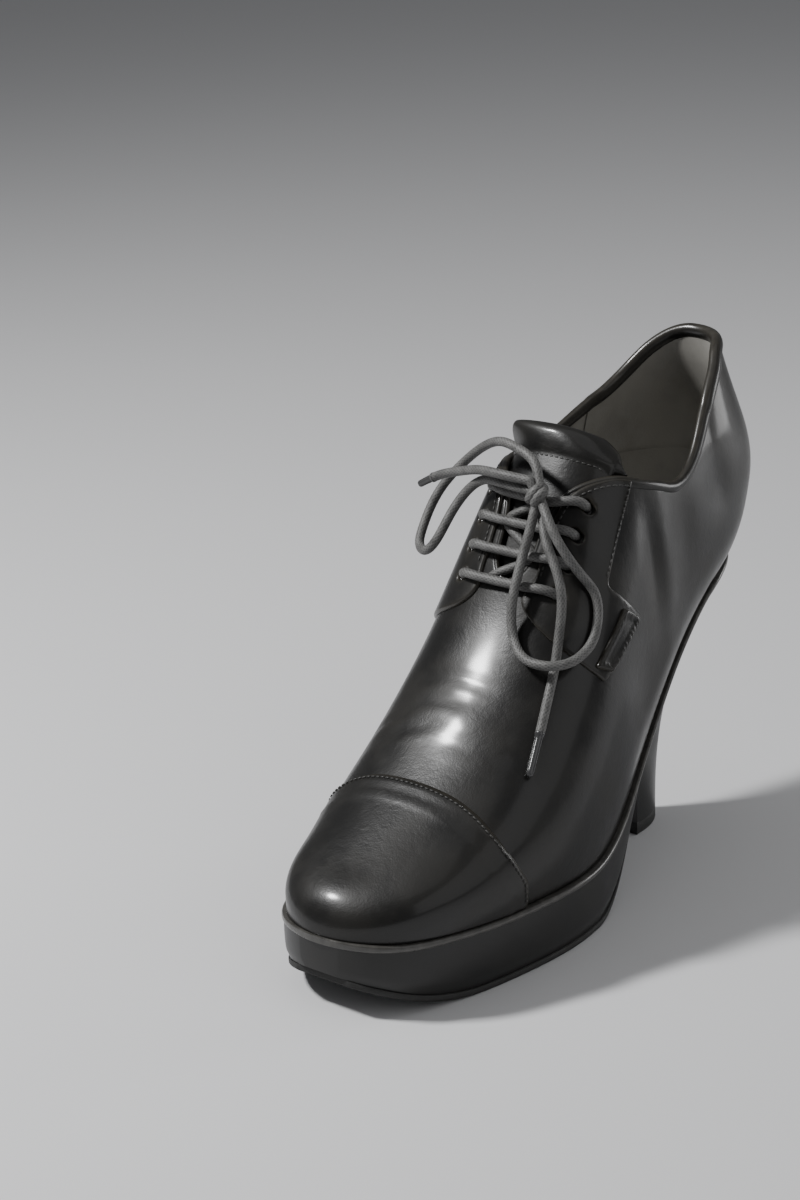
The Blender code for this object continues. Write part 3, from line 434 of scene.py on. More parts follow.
@dataclass
class SidePatch:
    """One side of the closed form, laid out flat: y along the foot and distance down from the ridge."""

    last: Last
    side: Side
    y_from: float = 4.0
    y_to: float = 66.0
    stations: int = 187
    rows: int = 300

    def __post_init__(self) -> None:
        """Samples the form."""
        ribs = []
        for y in np.linspace(self.y_from, self.y_to, self.stations):
            ribs.append(standing(self.last.profile(y, self.side)[::-1], y, self.side))
        self.reach = min(arc_lengths(rib)[-1] for rib in ribs)
        self.marks = np.linspace(0.0, self.reach, self.rows)
        self.grid = np.array([interpolate(self.marks, arc_lengths(rib), rib) for rib in ribs])
        along, down = np.gradient(self.grid, axis=0), np.gradient(self.grid, axis=1)
        self.normals = unit(np.cross(down, along) * self.side.value)

    def sample(self, y: Points, down: Points) -> tuple[Points, Points]:
        """Points and outward directions of the form.

        Args:
            y: Stations.
            down: Distances from the ridge along the sections.

        Returns:
            Points and normals.
        """
        u = (np.asarray(y) - self.y_from) / (self.y_to - self.y_from) * (self.stations - 1)
        u = np.clip(u, 0, self.stations - 1.001)
        v = np.clip(np.asarray(down) / self.reach * (self.rows - 1), 0, self.rows - 1.001)
        i, j = u.astype(int), v.astype(int)
        s, t = (u - i)[..., None], (v - j)[..., None]

        def blend(table: Points) -> Points:
            """Value between the table's points."""
            low = table[i, j] * (1 - t) + table[i, j + 1] * t
            high = table[i + 1, j] * (1 - t) + table[i + 1, j + 1] * t
            return low * (1 - s) + high * s

        return blend(self.grid), unit(blend(self.normals))

    def flatten(self, outline: Points) -> Points:
        """Side-view points (y, z) as (y, distance down from the ridge)."""
        result = []
        for y, z in outline:
            i = (y - self.y_from) / (self.y_to - self.y_from) * (self.stations - 1)
            low = int(np.clip(i, 0, self.stations - 2))
            heights = self.grid[low, :, 2] + (i - low) * (self.grid[low + 1, :, 2] - self.grid[low, :, 2])
            result.append((y, float(np.interp(-z, -heights, self.marks))))
        return np.array(result)

    def slot(self, y: float, down: float, radius: float, drawn: float, steps: int = 28) -> Points:
        """Flat outline of a hole of a radius on the form, drawn out by a length along the section."""
        step = 0.5
        here, _ = self.sample(np.array([y]), np.array([down]))
        along = (self.sample(np.array([y + step]), np.array([down]))[0] - here)[0] / step
        below = (self.sample(np.array([y]), np.array([down + step]))[0] - here)[0] / step
        metric = np.array([[along @ along, along @ below], [along @ below, below @ below]])
        values, vectors = np.linalg.eigh(metric)
        root = vectors @ np.diag(1 / np.sqrt(values)) @ vectors.T
        turn = circle(steps)
        hole = radius * np.stack([np.cos(turn), np.sin(turn)], axis=-1) @ root.T
        hole[:, 1] += np.sign(np.sin(turn)) * drawn / 2 / math.sqrt(below @ below)
        return np.array([y, down]) + hole


def new_mesh(name: str, points: Points, faces: Iterable[Sequence[int]]) -> Mesh:
    """Smooth-shaded mesh from points in millimetres."""
    mesh = bpy.data.meshes.new(name)
    mesh.from_pydata((np.asarray(points, float) * MM).tolist(), [], [list(map(int, f)) for f in faces])
    mesh.update()
    mesh.shade_smooth()
    return mesh


def face_outwards(mesh: Mesh, weld: float | None = None) -> Mesh:
    """Turns a closed mesh's faces outwards, once points nearer than a weld distance are joined."""
    work = bmesh.new()
    work.from_mesh(mesh)
    if weld is not None:
        bmesh.ops.remove_doubles(work, verts=work.verts, dist=weld * MM)
    bmesh.ops.recalc_face_normals(work, faces=work.faces)
    work.to_mesh(mesh)
    work.free()
    return mesh


def set_attribute(mesh: Mesh, name: str, values: Points) -> None:
    """Writes one number for each of the mesh's points."""
    attribute = mesh.attributes.new(name, "FLOAT", "POINT")
    attribute.data.foreach_set("value", np.asarray(values, np.float32))


def mesh_points(mesh: Mesh) -> tuple[Points, Points]:
    """Points in millimetres and their outward directions."""
    points = np.empty(len(mesh.vertices) * 3, np.float32)
    mesh.vertices.foreach_get("co", points)
    normals = np.empty(len(mesh.vertices) * 3, np.float32)
    mesh.vertex_normals.foreach_get("vector", normals)
    return points.reshape(-1, 3) / MM, normals.reshape(-1, 3)


def ring_solid(rings: Sequence[Points]) -> tuple[Points, list[list[int]]]:
    """Points and faces of a closed solid through rings of equal count, with flat ends."""
    count = len(rings[0])
    faces = []
    for i in range(len(rings) - 1):
        for j in range(count):
            a, b = i * count + j, i * count + (j + 1) % count
            faces.append([a, b, b + count, a + count])
    last_ring = (len(rings) - 1) * count
    faces.append(list(range(count))[::-1])
    faces.append(list(range(last_ring, last_ring + count)))
    return np.concatenate(rings), faces


def ring_mesh(
    name: str, rings: Sequence[Points], sharp: float | None = None, weld: float | None = None
) -> Mesh:
    """Closed mesh through rings.

    Args:
        name: The mesh's name.
        rings: Rings of equal count.
        sharp: Angle in degrees above which an edge stays sharp, or None for a smooth mesh.
        weld: Distance within which points are joined, or None.

    Returns:
        The mesh.
    """
    mesh = face_outwards(new_mesh(name, *ring_solid(rings)), weld)
    if sharp is not None:
        mesh.set_sharp_from_angle(angle=math.radians(sharp))
    return mesh


def rings_round(path: Points, radius: Points, across: Points, other: Points, turn: Points) -> list[Points]:
    """Rings round a line, with one radius, or one for each angle, at each of its points."""
    return [
        path[k] + radius[k][:, None] * (np.outer(np.cos(turn), across[k]) + np.outer(np.sin(turn), other[k]))
        for k in range(len(path))
    ]


def apply_modifiers(obj: Object) -> None:
    """Replaces an object's mesh by the one that its modifiers give."""
    graph = bpy.context.evaluated_depsgraph_get()
    mesh = bpy.data.meshes.new_from_object(obj.evaluated_get(graph))
    obj.modifiers.clear()
    obj.data = mesh


def new_group(name: str, inputs: dict[str, float], output: str) -> NodeTree:
    """Shader group with float inputs and one float output.

    Args:
        name: The group's name.
        inputs: Names and defaults of its inputs.
        output: Name of its output.

    Returns:
        The group, with its two end nodes named In and Out.
    """
    tree = bpy.data.node_groups.new(name, "ShaderNodeTree")
    for label, value in inputs.items():
        socket = tree.interface.new_socket(label, in_out="INPUT", socket_type="NodeSocketFloat")
        socket.default_value = value
    tree.interface.new_socket(output, in_out="OUTPUT", socket_type="NodeSocketFloat")
    tree.nodes.new("NodeGroupInput").name = "In"
    tree.nodes.new("NodeGroupOutput").name = "Out"
    return tree


def noise_node(tree: NodeTree, detail: float, scale: bpy.types.NodeSocket) -> bpy.types.Node:
    """Noise over the object's own coordinates, with its scale from a socket."""
    place = tree.nodes.new("ShaderNodeTexCoord")
    noise = tree.nodes.new("ShaderNodeTexNoise")
    noise.inputs["Detail"].default_value = detail
    tree.links.new(place.outputs["Object"], noise.inputs["Vector"])
    tree.links.new(scale, noise.inputs["Scale"])
    return noise


def math_node(
    tree: NodeTree, operation: str, sources: Sequence[bpy.types.NodeSocket | float]
) -> bpy.types.Node:
    """Math node.

    Args:
        tree: Tree that it goes in.
        operation: Name of its operation.
        sources: What its inputs take, in order: sockets, or values that stay.

    Returns:
        The node.
    """
    node = tree.nodes.new("ShaderNodeMath")
    node.operation = operation
    for socket, source in zip(node.inputs, sources):
        if isinstance(source, float):
            socket.default_value = source
        else:
            tree.links.new(source, socket)
    return node


class ShaderGroups:
    """Shader effects that several finishes share, each built once."""

    @cached_property
    def grain(self) -> NodeTree:
        """Pebbled grain with fine pores and soft wrinkles, as a height."""
        finer, coarser, distortion = 2.3, 0.17, 0.6
        tree = new_group("Leather grain", {"Scale": 900.0, "Pores": 0.4, "Wrinkles": 0.0}, "Height")
        given = tree.nodes["In"].outputs
        place = tree.nodes.new("ShaderNodeTexCoord")
        cells = tree.nodes.new("ShaderNodeTexVoronoi")
        cells.feature = "SMOOTH_F1"
        tree.links.new(place.outputs["Object"], cells.inputs["Vector"])
        tree.links.new(given["Scale"], cells.inputs["Scale"])
        fine = math_node(tree, "MULTIPLY", (given["Scale"], finer))
        pores = noise_node(tree, 4.0, fine.outputs[0])
        coarse = math_node(tree, "MULTIPLY", (given["Scale"], coarser))
        wrinkles = noise_node(tree, 3.0, coarse.outputs[0])
        wrinkles.inputs["Distortion"].default_value = distortion
        pitted = math_node(
            tree, "MULTIPLY_ADD", (pores.outputs["Fac"], given["Pores"], cells.outputs["Distance"])
        )
        wrinkled = math_node(
            tree, "MULTIPLY_ADD", (wrinkles.outputs["Fac"], given["Wrinkles"], pitted.outputs[0])
        )
        tree.links.new(wrinkled.outputs[0], tree.nodes["Out"].inputs["Height"])
        return tree

    @cached_property
    def drift(self) -> NodeTree:
        """Slow cloudy change over the surface, from 0 to 1, sharpened by a contrast."""
        tree = new_group("Tone drift", {"Scale": 40.0, "Low": 0.35, "High": 0.65}, "Mask")
        given = tree.nodes["In"].outputs
        cloud = noise_node(tree, 5.0, given["Scale"])
        cloud.inputs["Roughness"].default_value = 0.55
        window = tree.nodes.new("ShaderNodeMapRange")
        window.interpolation_type = "SMOOTHSTEP"
        tree.links.new(cloud.outputs["Fac"], window.inputs["Value"])
        tree.links.new(given["Low"], window.inputs["From Min"])
        tree.links.new(given["High"], window.inputs["From Max"])
        tree.links.new(window.outputs["Result"], tree.nodes["Out"].inputs["Mask"])
        return tree

    @cached_property
    def wear_and_sheen(self) -> NodeTree:
        """Rubbed edges and painted sheen: the mesh's own values of wear and painted sheen, broken up by
        noise.
        """
        tree = new_group("Wear and painted sheen", {"Amount": 0.5, "Scale": 300.0}, "Mask")
        given = tree.nodes["In"].outputs
        rubbed_and_sheen = tree.nodes.new("ShaderNodeAttribute")
        rubbed_and_sheen.attribute_name = "wear_and_sheen"
        broken = noise_node(tree, 3.0, given["Scale"])
        mixed = math_node(tree, "MULTIPLY", (rubbed_and_sheen.outputs["Fac"], broken.outputs["Fac"]))
        scaled = math_node(tree, "MULTIPLY", (mixed.outputs[0], given["Amount"]))
        scaled.use_clamp = True
        tree.links.new(scaled.outputs[0], tree.nodes["Out"].inputs["Mask"])
        return tree


@dataclass(frozen=True)
class Finish:
    """A surface: colours in linear RGB, gloss, grain, and a lighter colour for wear and painted sheen."""

    name: str
    colour: tuple[float, float, float]
    tint: tuple[float, float, float]
    rubbed_and_sheen: tuple[float, float, float]
    roughness: float
    roughness_drift: float
    grain_scale: float
    grain_depth: float
    coat: float = 0.0
    coat_roughness: float = 0.2
    wear_and_sheen: float = 0.5
    drift_scale: float = 40.0
    specular: float = 0.4
    wrinkles: float = 0.0

    def material(self, groups: ShaderGroups) -> bpy.types.Material:
        """Node material of this finish.

        Args:
            groups: Shared effects.

        Returns:
            The material.
        """
        found = bpy.data.materials.get(self.name)
        if found is not None:
            return found
        material = bpy.data.materials.new(self.name)
        material.use_nodes = True
        nodes, links = material.node_tree.nodes, material.node_tree.links
        shader = nodes["Principled BSDF"]
        shader.inputs["Specular IOR Level"].default_value = self.specular
        shader.inputs["Coat Weight"].default_value = self.coat
        shader.inputs["Coat Roughness"].default_value = self.coat_roughness

        def group(tree: NodeTree, values: dict[str, float]) -> bpy.types.Node:
            """Places a group with its values."""
            node = nodes.new("ShaderNodeGroup")
            node.node_tree = tree
            for label, value in values.items():
                node.inputs[label].default_value = value
            return node

        grain = group(groups.grain, {"Scale": self.grain_scale, "Wrinkles": self.wrinkles})
        drift = group(groups.drift, {"Scale": self.drift_scale})
        wear_and_sheen = group(groups.wear_and_sheen, {"Amount": self.wear_and_sheen})
        tone = nodes.new("ShaderNodeMix")
        tone.data_type = "RGBA"
        tone.inputs["A"].default_value = (*self.colour, 1.0)
        tone.inputs["B"].default_value = (*self.tint, 1.0)
        # The lighter colour, mixed in by the mask, is real wear in some places and painted sheen or
        # highlight in others
        rub_and_sheen = nodes.new("ShaderNodeMix")
        rub_and_sheen.data_type = "RGBA"
        rub_and_sheen.inputs["B"].default_value = (*self.rubbed_and_sheen, 1.0)
        gloss = nodes.new("ShaderNodeMapRange")
        gloss.inputs["To Min"].default_value = self.roughness
        gloss.inputs["To Max"].default_value = self.roughness + self.roughness_drift
        bump = nodes.new("ShaderNodeBump")
        bump.inputs["Strength"].default_value = 1.0
        bump.inputs["Distance"].default_value = self.grain_depth * MM
        links.new(drift.outputs["Mask"], tone.inputs["Factor"])
        links.new(tone.outputs["Result"], rub_and_sheen.inputs["A"])
        links.new(wear_and_sheen.outputs["Mask"], rub_and_sheen.inputs["Factor"])
        links.new(rub_and_sheen.outputs["Result"], shader.inputs["Base Color"])
        links.new(drift.outputs["Mask"], gloss.inputs["Value"])
        links.new(gloss.outputs["Result"], shader.inputs["Roughness"])
        links.new(grain.outputs["Height"], bump.inputs["Height"])
        links.new(bump.outputs["Normal"], shader.inputs["Normal"])
        return material


# Its rubbed colour stands for wear, and also paints sheen on the counter and quarter and a highlight along
# cut edges
POLISHED_LEATHER = Finish(
    "Polished black leather", (0.006, 0.0058, 0.0055), (0.0105, 0.0096, 0.008), (0.075, 0.066, 0.05),
    0.34, 0.14, 1900.0, 0.024, coat=0.34, coat_roughness=0.15, wear_and_sheen=0.7, specular=0.27, wrinkles=3.2,
)
SOLE_LEATHER = Finish(
    "Covered platform leather", (0.007, 0.007, 0.007), (0.011, 0.0105, 0.0095), (0.05, 0.048, 0.043),
    0.36, 0.12, 2000.0, 0.02, coat=0.1, coat_roughness=0.25, wear_and_sheen=0.6,
)
# Its rubbed colour, mixed in over the whole bead, is a painted highlight
WELT_LEATHER = Finish(
    "Welt leather with painted highlight", (0.012, 0.0115, 0.011), (0.02, 0.019, 0.017), (0.10, 0.096, 0.088),
    0.26, 0.12, 1500.0, 0.02, coat=0.3, coat_roughness=0.15, wear_and_sheen=1.0, drift_scale=90.0,
)
LINING_LEATHER = Finish(
    "Lining leather", (0.23, 0.222, 0.203), (0.30, 0.29, 0.265), (0.37, 0.357, 0.33),
    0.6, 0.15, 1400.0, 0.03, wear_and_sheen=0.4,
)
SOLE_RUBBER = Finish(
    "Sole rubber", (0.011, 0.011, 0.011), (0.017, 0.0165, 0.016), (0.06, 0.06, 0.057),
    0.55, 0.2, 2200.0, 0.05, wear_and_sheen=0.7,
)
THREAD = Finish(
    "Waxed thread", (0.036, 0.036, 0.035), (0.055, 0.053, 0.05), (0.05, 0.05, 0.05),
    0.42, 0.1, 3500.0, 0.03,
)
WAXED_CORD = Finish(
    "Waxed braided cord", (0.018, 0.018, 0.018), (0.050, 0.049, 0.047), (0.19, 0.188, 0.183),
    0.46, 0.15, 3200.0, 0.05, wear_and_sheen=1.3, drift_scale=1500.0,
)
AGLET_SHELL = Finish(
    "Aglet shell", (0.035, 0.035, 0.036), (0.05, 0.05, 0.05), (0.12, 0.12, 0.12),
    0.18, 0.06, 2500.0, 0.01, coat=0.4, coat_roughness=0.08,
)


@dataclass
class Workshop:
    """Adds finished pieces to the scene and keeps count of them."""

    groups: ShaderGroups = field(default_factory=ShaderGroups)
    pieces: list[Object] = field(default_factory=list)

    def add(
        self,
        name: str,
        mesh: Mesh,
        finishes: Sequence[Finish],
        slot: Slot,
        replaces: Sequence[str] = (),
    ) -> Object:
        """Puts a piece on the boot.

        Args:
            name: The piece's name.
            mesh: Its mesh.
            finishes: Its materials, in the order of the mesh's material indices.
            slot: The record's slot that it would take its finish from; not used.
            replaces: CAD nodes that it stands for.

        Returns:
            The object.
        """
        obj = bpy.data.objects.new(name, mesh)
        bpy.context.scene.collection.objects.link(obj)
        mesh.materials.clear()
        for finish in finishes:
            mesh.materials.append(finish.material(self.groups))
        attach(obj, BODY)
        if replaces:
            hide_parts(*replaces)
        self.pieces.append(obj)
        LOG.info("%s: %d faces", name, len(mesh.polygons))
        return obj

    def cutter(self, name: str, mesh: Mesh) -> Object:
        """Links a helper object that is removed after use."""
        obj = bpy.data.objects.new(name, mesh)
        bpy.context.scene.collection.objects.link(obj)
        return obj


@dataclass(frozen=True)
class Crease:
    """A soft flex crease across the vamp, from one plan point (x, y) to another, bowed towards the toe."""

    start: tuple[float, float]
    end: tuple[float, float]
    bow: float
    depth: float
    width: float
    fade: float = 0.3
    lip: float = 0.45
    lip_place: float = 1.8
    lip_width: float = 0.9

    def height(self, points: Points) -> Points:
        """How far the crease moves the surface at the points: a groove between two soft lips."""
        (x0, y0), (x1, y1) = self.start, self.end
        t = (points[:, 0] - x0) / (x1 - x0)
        line = y0 + (y1 - y0) * t - self.bow * (1 - (2 * t - 1) ** 2)
        q = (points[:, 1] - line) / self.width
        fade = smoothstep(t / self.fade) * smoothstep((1 - t) / self.fade)
        lips = np.exp(-(((np.abs(q) - self.lip_place) / self.lip_width) ** 2))
        groove = np.exp(-(q**2)) - self.lip * lips
        return -self.depth * groove * np.where((t > 0) & (t < 1), fade, 0.0)


@dataclass(frozen=True)
class Dent:
    """A broad soft hollow or swelling at a point of the upper."""

    centre: tuple[float, float, float]
    reach: tuple[float, float, float]
    depth: float

    def height(self, points: Points) -> Points:
        """How far the dent moves the surface at the points."""
        q = (points - np.array(self.centre)) / np.array(self.reach)
        return -self.depth * np.exp(-np.sum(q**2, axis=1))


# Creases: start (x, y), end (x, y), bow, depth, width
CREASES = (
    Crease((-33.0, -21.0), (4.0, -15.5), 1.5, 0.26, 2.0),
    Crease((-30.0, -9.0), (8.0, -10.5), 1.0, 0.2, 1.9),
    Crease((-24.0, -2.0), (18.0, -4.0), 1.2, 0.16, 1.5),
    Crease((-36.0, -15.0), (-12.0, -13.0), 0.5, 0.2, 1.5),
    Crease((0.0, -22.0), (34.0, -14.0), 2.0, 0.12, 2.2),
)
# Hollows, and swellings with a depth below nothing: centre, reach along each axis, depth
DENTS = (
    Dent((-18.0, -4.0, 86.0), (9.0, 5.0, 9.0), 0.7),
    Dent((6.0, -15.0, 80.0), (12.0, 6.0, 9.0), -0.6),
    Dent((33.0, 61.0, 121.0), (12.0, 4.5, 16.0), 1.0),
    Dent((34.0, 70.0, 114.0), (12.0, 5.0, 20.0), -0.8),
    Dent((33.0, 82.0, 124.0), (12.0, 7.0, 16.0), 0.7),
    Dent((31.0, 108.0, 134.0), (12.0, 9.0, 13.0), 1.3),
    Dent((24.0, 134.0, 140.0), (14.0, 10.0, 20.0), -0.8),
    Dent((36.0, 47.0, 84.0), (12.0, 14.0, 14.0), 0.5),
)
# Painted sheen, in the same way: warm reflections painted on the counter and on the quarter behind the tab
PAINTED_SHEEN_SPOTS = (
    Dent((22.0, 143.0, 138.0), (16.0, 14.0, 24.0), -0.8),
    Dent((35.0, 60.0, 110.0), (8.0, 6.0, 16.0), -0.22),
)


@dataclass
class Upper:
    """Hollow leather upper with its rolled collar, and the eyelets cut through it."""

    last: Last
    wall: float = 1.8
    rib_points: int = 64
    toe_steps: int = 44
    heel_steps: int = 40
    eyelets: Outline = ((22.0, 116.0), (28.0, 125.0), (34.0, 134.0), (40.5, 142.6))
    eyelet_hole: float = 3.8
    eyelet_drawn: float = 1.6
    roll_swell: float = 0.35
    roll_thick: float = 1.65
    roll_tall: float = 2.1
    gap_roll: float = 1.0
    gap_roll_tall: float = 1.1
    roll_drop: float = 0.7
    roll_sides: int = 16
    roll_top_lightening: float = 0.8
    collar_from: float = 38.0
    collar_over: float = 12.0
    padded_from: float = 75.0
    padded_over: float = 45.0
    grip_foot: float = 132.0
    grip_drop: float = 1.5
    grip_thick: float = 0.7
    grip_sunk: float = 0.2

    def stations(self) -> list[float]:
        """Stations from the toe to the heel's axis, closer together where the form turns."""
        tip, toe_end, start = self.last.toe_tip, -38.0, self.last.throat_start
        toe = tip + (toe_end - tip) * (1 - np.cos(np.linspace(0.0, math.pi / 2, self.toe_steps)))
        gap_end = start + self.last.throat_round * (1 - np.cos(np.linspace(0.0, math.pi / 2, 12)))
        vamp, gap, quarter = (-36.5, start - 0.5, 1.5), (28.2, 62.0, 1.2), (63.0, 105.0, 1.8)
        parts = (toe, np.arange(*vamp), gap_end, np.arange(*gap), np.arange(*quarter), [self.last.heel_axis])
        return [float(y) for part in parts for y in part]

    def side_grid(self, side: Side) -> Points:
        """Grid of points over one side: toe tip to back seam, foot edge to top edge."""
        ribs = [self.last.rib(y, side) for y in self.stations()]
        angles = np.linspace(math.pi / 2, 0.0, self.heel_steps + 1)[1:]
        ribs += [self.last.heel_rib(angle, side) for angle in angles]
        return np.array([resample(rib, self.rib_points) for rib in ribs])

    def welded(self) -> tuple[Points, list[list[int]], dict[Side, Points]]:
        """Both sides as one sheet.

        Returns:
            Points, faces, and each side's grid of point numbers.
        """
        points: list[Points] = []
        faces: list[list[int]] = []
        known: dict[tuple, int] = {}
        numbers: dict[Side, Points] = {}
        for side in Side:
            grid = self.side_grid(side)
            count = len(grid)
            table = np.empty(grid.shape[:2], int)
            for i in range(count):
                for j in range(self.rib_points):
                    key: tuple = (side, i, j)
                    on_ridge = j == self.rib_points - 1 and grid[i, j, 1] <= self.last.throat_start
                    if i == 0:
                        key = ("toe",)
                    elif on_ridge or i == count - 1:
                        key = ("middle", i, j)
                    if key not in known:
                        known[key] = len(points)
                        points.append(grid[i, j])
                    table[i, j] = known[key]
            numbers[side] = table
            for i in range(count - 1):
                for j in range(self.rib_points - 1):
                    face = [table[i, j], table[i + 1, j], table[i + 1, j + 1], table[i, j + 1]]
                    face = list(dict.fromkeys(face))
                    if len(face) > 2:
                        faces.append(face if side is Side.LATERAL else face[::-1])
        return np.array(points), faces, numbers

    def build(self, shop: Workshop) -> None:
        """Makes the upper and its rolled edge."""
        points, faces, numbers = self.welded()
        mesh = new_mesh("upper_shell", points, faces)
        _, normals = mesh_points(mesh)
        lift = sum(mark.height(points) for mark in (*CREASES, *DENTS))
        mesh = new_mesh("upper_shell", points + normals * lift[:, None], faces)
        shell = shop.add("upper_shell", mesh, (POLISHED_LEATHER, LINING_LEATHER), Slot.LEATHER, ("upper",))
        self.thicken(shell, shop)
        self.build_roll(points, normals, numbers, shop)
        self.build_heel_grip(shop)

    def thicken(self, shell: Object, shop: Workshop) -> None:
        """Gives the shell its wall and lining, and cuts the eyelets."""
        wall = shell.modifiers.new("Wall", "SOLIDIFY")
        wall.thickness = self.wall * MM
        wall.offset = -1.0
        wall.material_offset = 1
        cutters = [shop.cutter("eyelet_cutter", self.eyelet_mesh(side)) for side in Side]
        for cutter in cutters:
            cut = shell.modifiers.new("Eyelets", "BOOLEAN")
            cut.operation = "DIFFERENCE"
            cut.object = cutter
        apply_modifiers(shell)
        for cutter in cutters:
            bpy.data.objects.remove(cutter)
        points, _ = mesh_points(shell.data)
        # Wear on the crease lips, and painted sheen on the counter and the quarter
        set_attribute(shell.data, "wear_and_sheen", self.wear_and_sheen_marks(points))

    def build_heel_grip(self, shop: Workshop) -> None:
        """Second lining layer round the inside of the heel, from above the seat up to the rolled edge."""
        layers, edge_layers, steps = 40, 3, 26
        ribs = []
        quarter = np.linspace(0.0, 0.5, steps) * math.pi
        for side, turns in ((Side.LATERAL, quarter[::-1]), (Side.MEDIAL, quarter[1:])):
            for angle in turns:
                rib = self.last.heel_rib(angle, side)
                places = np.arange(len(rib))
                low, high = np.interp((self.grip_foot, rib[-1, 2] - self.grip_drop), rib[:, 2], places)
                ribs.append(interpolate(np.linspace(low, high, layers), places, rib))
        sheet = np.array(ribs)
        axis = np.array([0.0, self.last.heel_axis, 0.0])
        inward = unit((axis - sheet) * np.array([1.0, 1.0, 0.0]))
        edge = np.minimum(np.arange(layers), edge_layers) / edge_layers
        outer = sheet + inward * (self.wall - self.grip_sunk)
        inner = sheet + inward * (self.wall + self.grip_thick * round_off(edge))[None, :, None]
        rings = [np.concatenate([a, b[::-1]]) for a, b in zip(inner, outer)]
        shop.add("heel_grip", ring_mesh("heel_grip", rings, sharp=60), (LINING_LEATHER,), Slot.LINING)

    def wear_and_sheen_marks(self, points: Points) -> Points:
        """Wear and painted sheen of the upper: rubbed crease lips, and painted reflections on the counter
        and on the quarter behind the tab.
        """
        lip_wear = 0.8
        lips = sum(np.maximum(crease.height(points), 0.0) for crease in CREASES)
        return np.clip(lips * lip_wear + sum(spot.height(points) for spot in PAINTED_SHEEN_SPOTS), 0.0, 1.0)

    def eyelet_frame(self, place: tuple[float, float], side: Side) -> tuple[Points, Points]:
        """Centre and outward direction of an eyelet."""
        y, z = place
        step = 0.5

        def point(dy: float, dz: float) -> Points:
            """Point of the form near the eyelet."""
            return np.array([side.value * float(self.last.half_width(y + dy, z + dz, side)), y + dy, z + dz])

        centre = point(0.0, 0.0)
        outward = np.cross(point(step, 0.0) - centre, point(0.0, step) - centre)
        return centre, outward * side.value / np.linalg.norm(outward)

    def eyelet_mesh(self, side: Side) -> Mesh:
        """Cutters of one side's eyelets, drawn out along the section."""
        work = bmesh.new()
        radius, depth = self.eyelet_hole / 2 * MM, 10 * MM
        for place in self.eyelets:
            centre, outward = self.eyelet_frame(place, side)
            across = unit(np.cross(outward, (0.0, *FALL)))
            axes = Matrix((Vector(across), Vector(np.cross(outward, across)), Vector(outward)))
            matrix = Matrix.Translation(Vector(centre) * MM) @ axes.transposed().to_4x4()
            matrix = matrix @ Matrix.Scale(1 + self.eyelet_drawn / self.eyelet_hole, 4, (1.0, 0.0, 0.0))
            bmesh.ops.create_cone(
                work, cap_ends=True, segments=24, radius1=radius, radius2=radius, depth=depth, matrix=matrix
            )
        mesh = bpy.data.meshes.new("eyelet_cutter")
        work.to_mesh(mesh)
        work.free()
        return mesh

    def build_roll(
        self, points: Points, normals: Points, numbers: dict[Side, Points], shop: Workshop
    ) -> None:
        """Folded edge round the collar and down the lacing gap."""
        start = next(i for i, y in enumerate(self.stations()) if y > self.last.throat_start + 0.05)
        lateral, medial = numbers[Side.LATERAL][start:], numbers[Side.MEDIAL][start:-1][::-1]
        edge, below = (np.concatenate([lateral[:, row], medial[:, row]]) for row in (-1, -3))
        along = unit(np.gradient(points[edge], axis=0))
        out = unit(normals[edge] - np.sum(normals[edge] * along, axis=1, keepdims=True) * along)
        up = unit(np.cross(out, along))
        up *= np.sign(np.sum(up * (points[edge] - points[below]), axis=1, keepdims=True))
        collar = smoothstep((points[edge][:, 1] - self.collar_from) / self.collar_over)[:, None]
        heel = smoothstep((points[edge][:, 1] - self.padded_from) / self.padded_over)[:, None]
        padded = 1 + self.roll_swell * heel
        thick = (self.gap_roll + (self.roll_thick - self.gap_roll) * collar) * padded
        tall = (self.gap_roll_tall + (self.roll_tall - self.gap_roll_tall) * collar) * padded
        centre = points[edge] - out * self.wall / 2 - up * (tall - self.roll_drop)
        turn = circle(self.roll_sides)
        rings = [
            centre[k] + np.outer(np.cos(turn) * thick[k], out[k]) + np.outer(np.sin(turn) * tall[k], up[k])
            for k in range(len(edge))
        ]
        mesh = ring_mesh("collar_roll", rings)
        # The roll's upper half is mixed towards the lighter rubbed colour
        set_attribute(mesh, "wear_and_sheen", np.tile(np.maximum(np.sin(turn), 0.0) * self.roll_top_lightening, len(rings)))
        shop.add("collar_roll", mesh, (POLISHED_LEATHER,), Slot.LEATHER)


@dataclass(frozen=True)
class Seam:
    """Sizes of a row of stitches: distance from one to the next, length of one, thickness of the thread."""

    pitch: float
    length: float
    thread: float
    proud: float = 0.12
    sides: int = 6

    def sew(self, rows: Sequence[tuple[Points, Points]]) -> Mesh:
        """Stitches, each a small capsule half sunk in the leather.

        Args:
            rows: Points of each row on the surface, with their outward directions.

        Returns:
            One mesh of all the stitches.
        """
        profile = ((-0.5, 0.25), (-0.36, 0.85), (0.0, 1.0), (0.36, 0.85), (0.5, 0.25))
        _, body = ring_solid([np.zeros((self.sides, 3))] * len(profile))
        points, faces = [], []
        for row, outward in rows:
            marks = arc_lengths(row)
            for place in np.arange(self.pitch / 2, marks[-1], self.pitch):
                centre = interpolate(place, marks, row)
                out = unit(interpolate(place, marks, outward))
                along = unit(interpolate(place + self.length / 2, marks, row) - centre)
                across = np.cross(out, along)
                faces += [[len(points) + v for v in face] for face in body]
                for share, size in profile:
                    middle = centre + along * share * self.length + out * self.thread * self.proud
                    for angle in circle(self.sides):
                        offset = across * math.cos(angle) + out * math.sin(angle)
                        points.append(middle + offset * self.thread / 2 * size)
        return face_outwards(new_mesh("stitches", np.array(points), faces))


EYESTAY_SEAM = Seam(2.3, 1.7, 0.66)
TOE_CAP_SEAM = Seam(2.1, 1.55, 0.7)
TONGUE_SEAM = Seam(2.1, 1.5, 0.55)


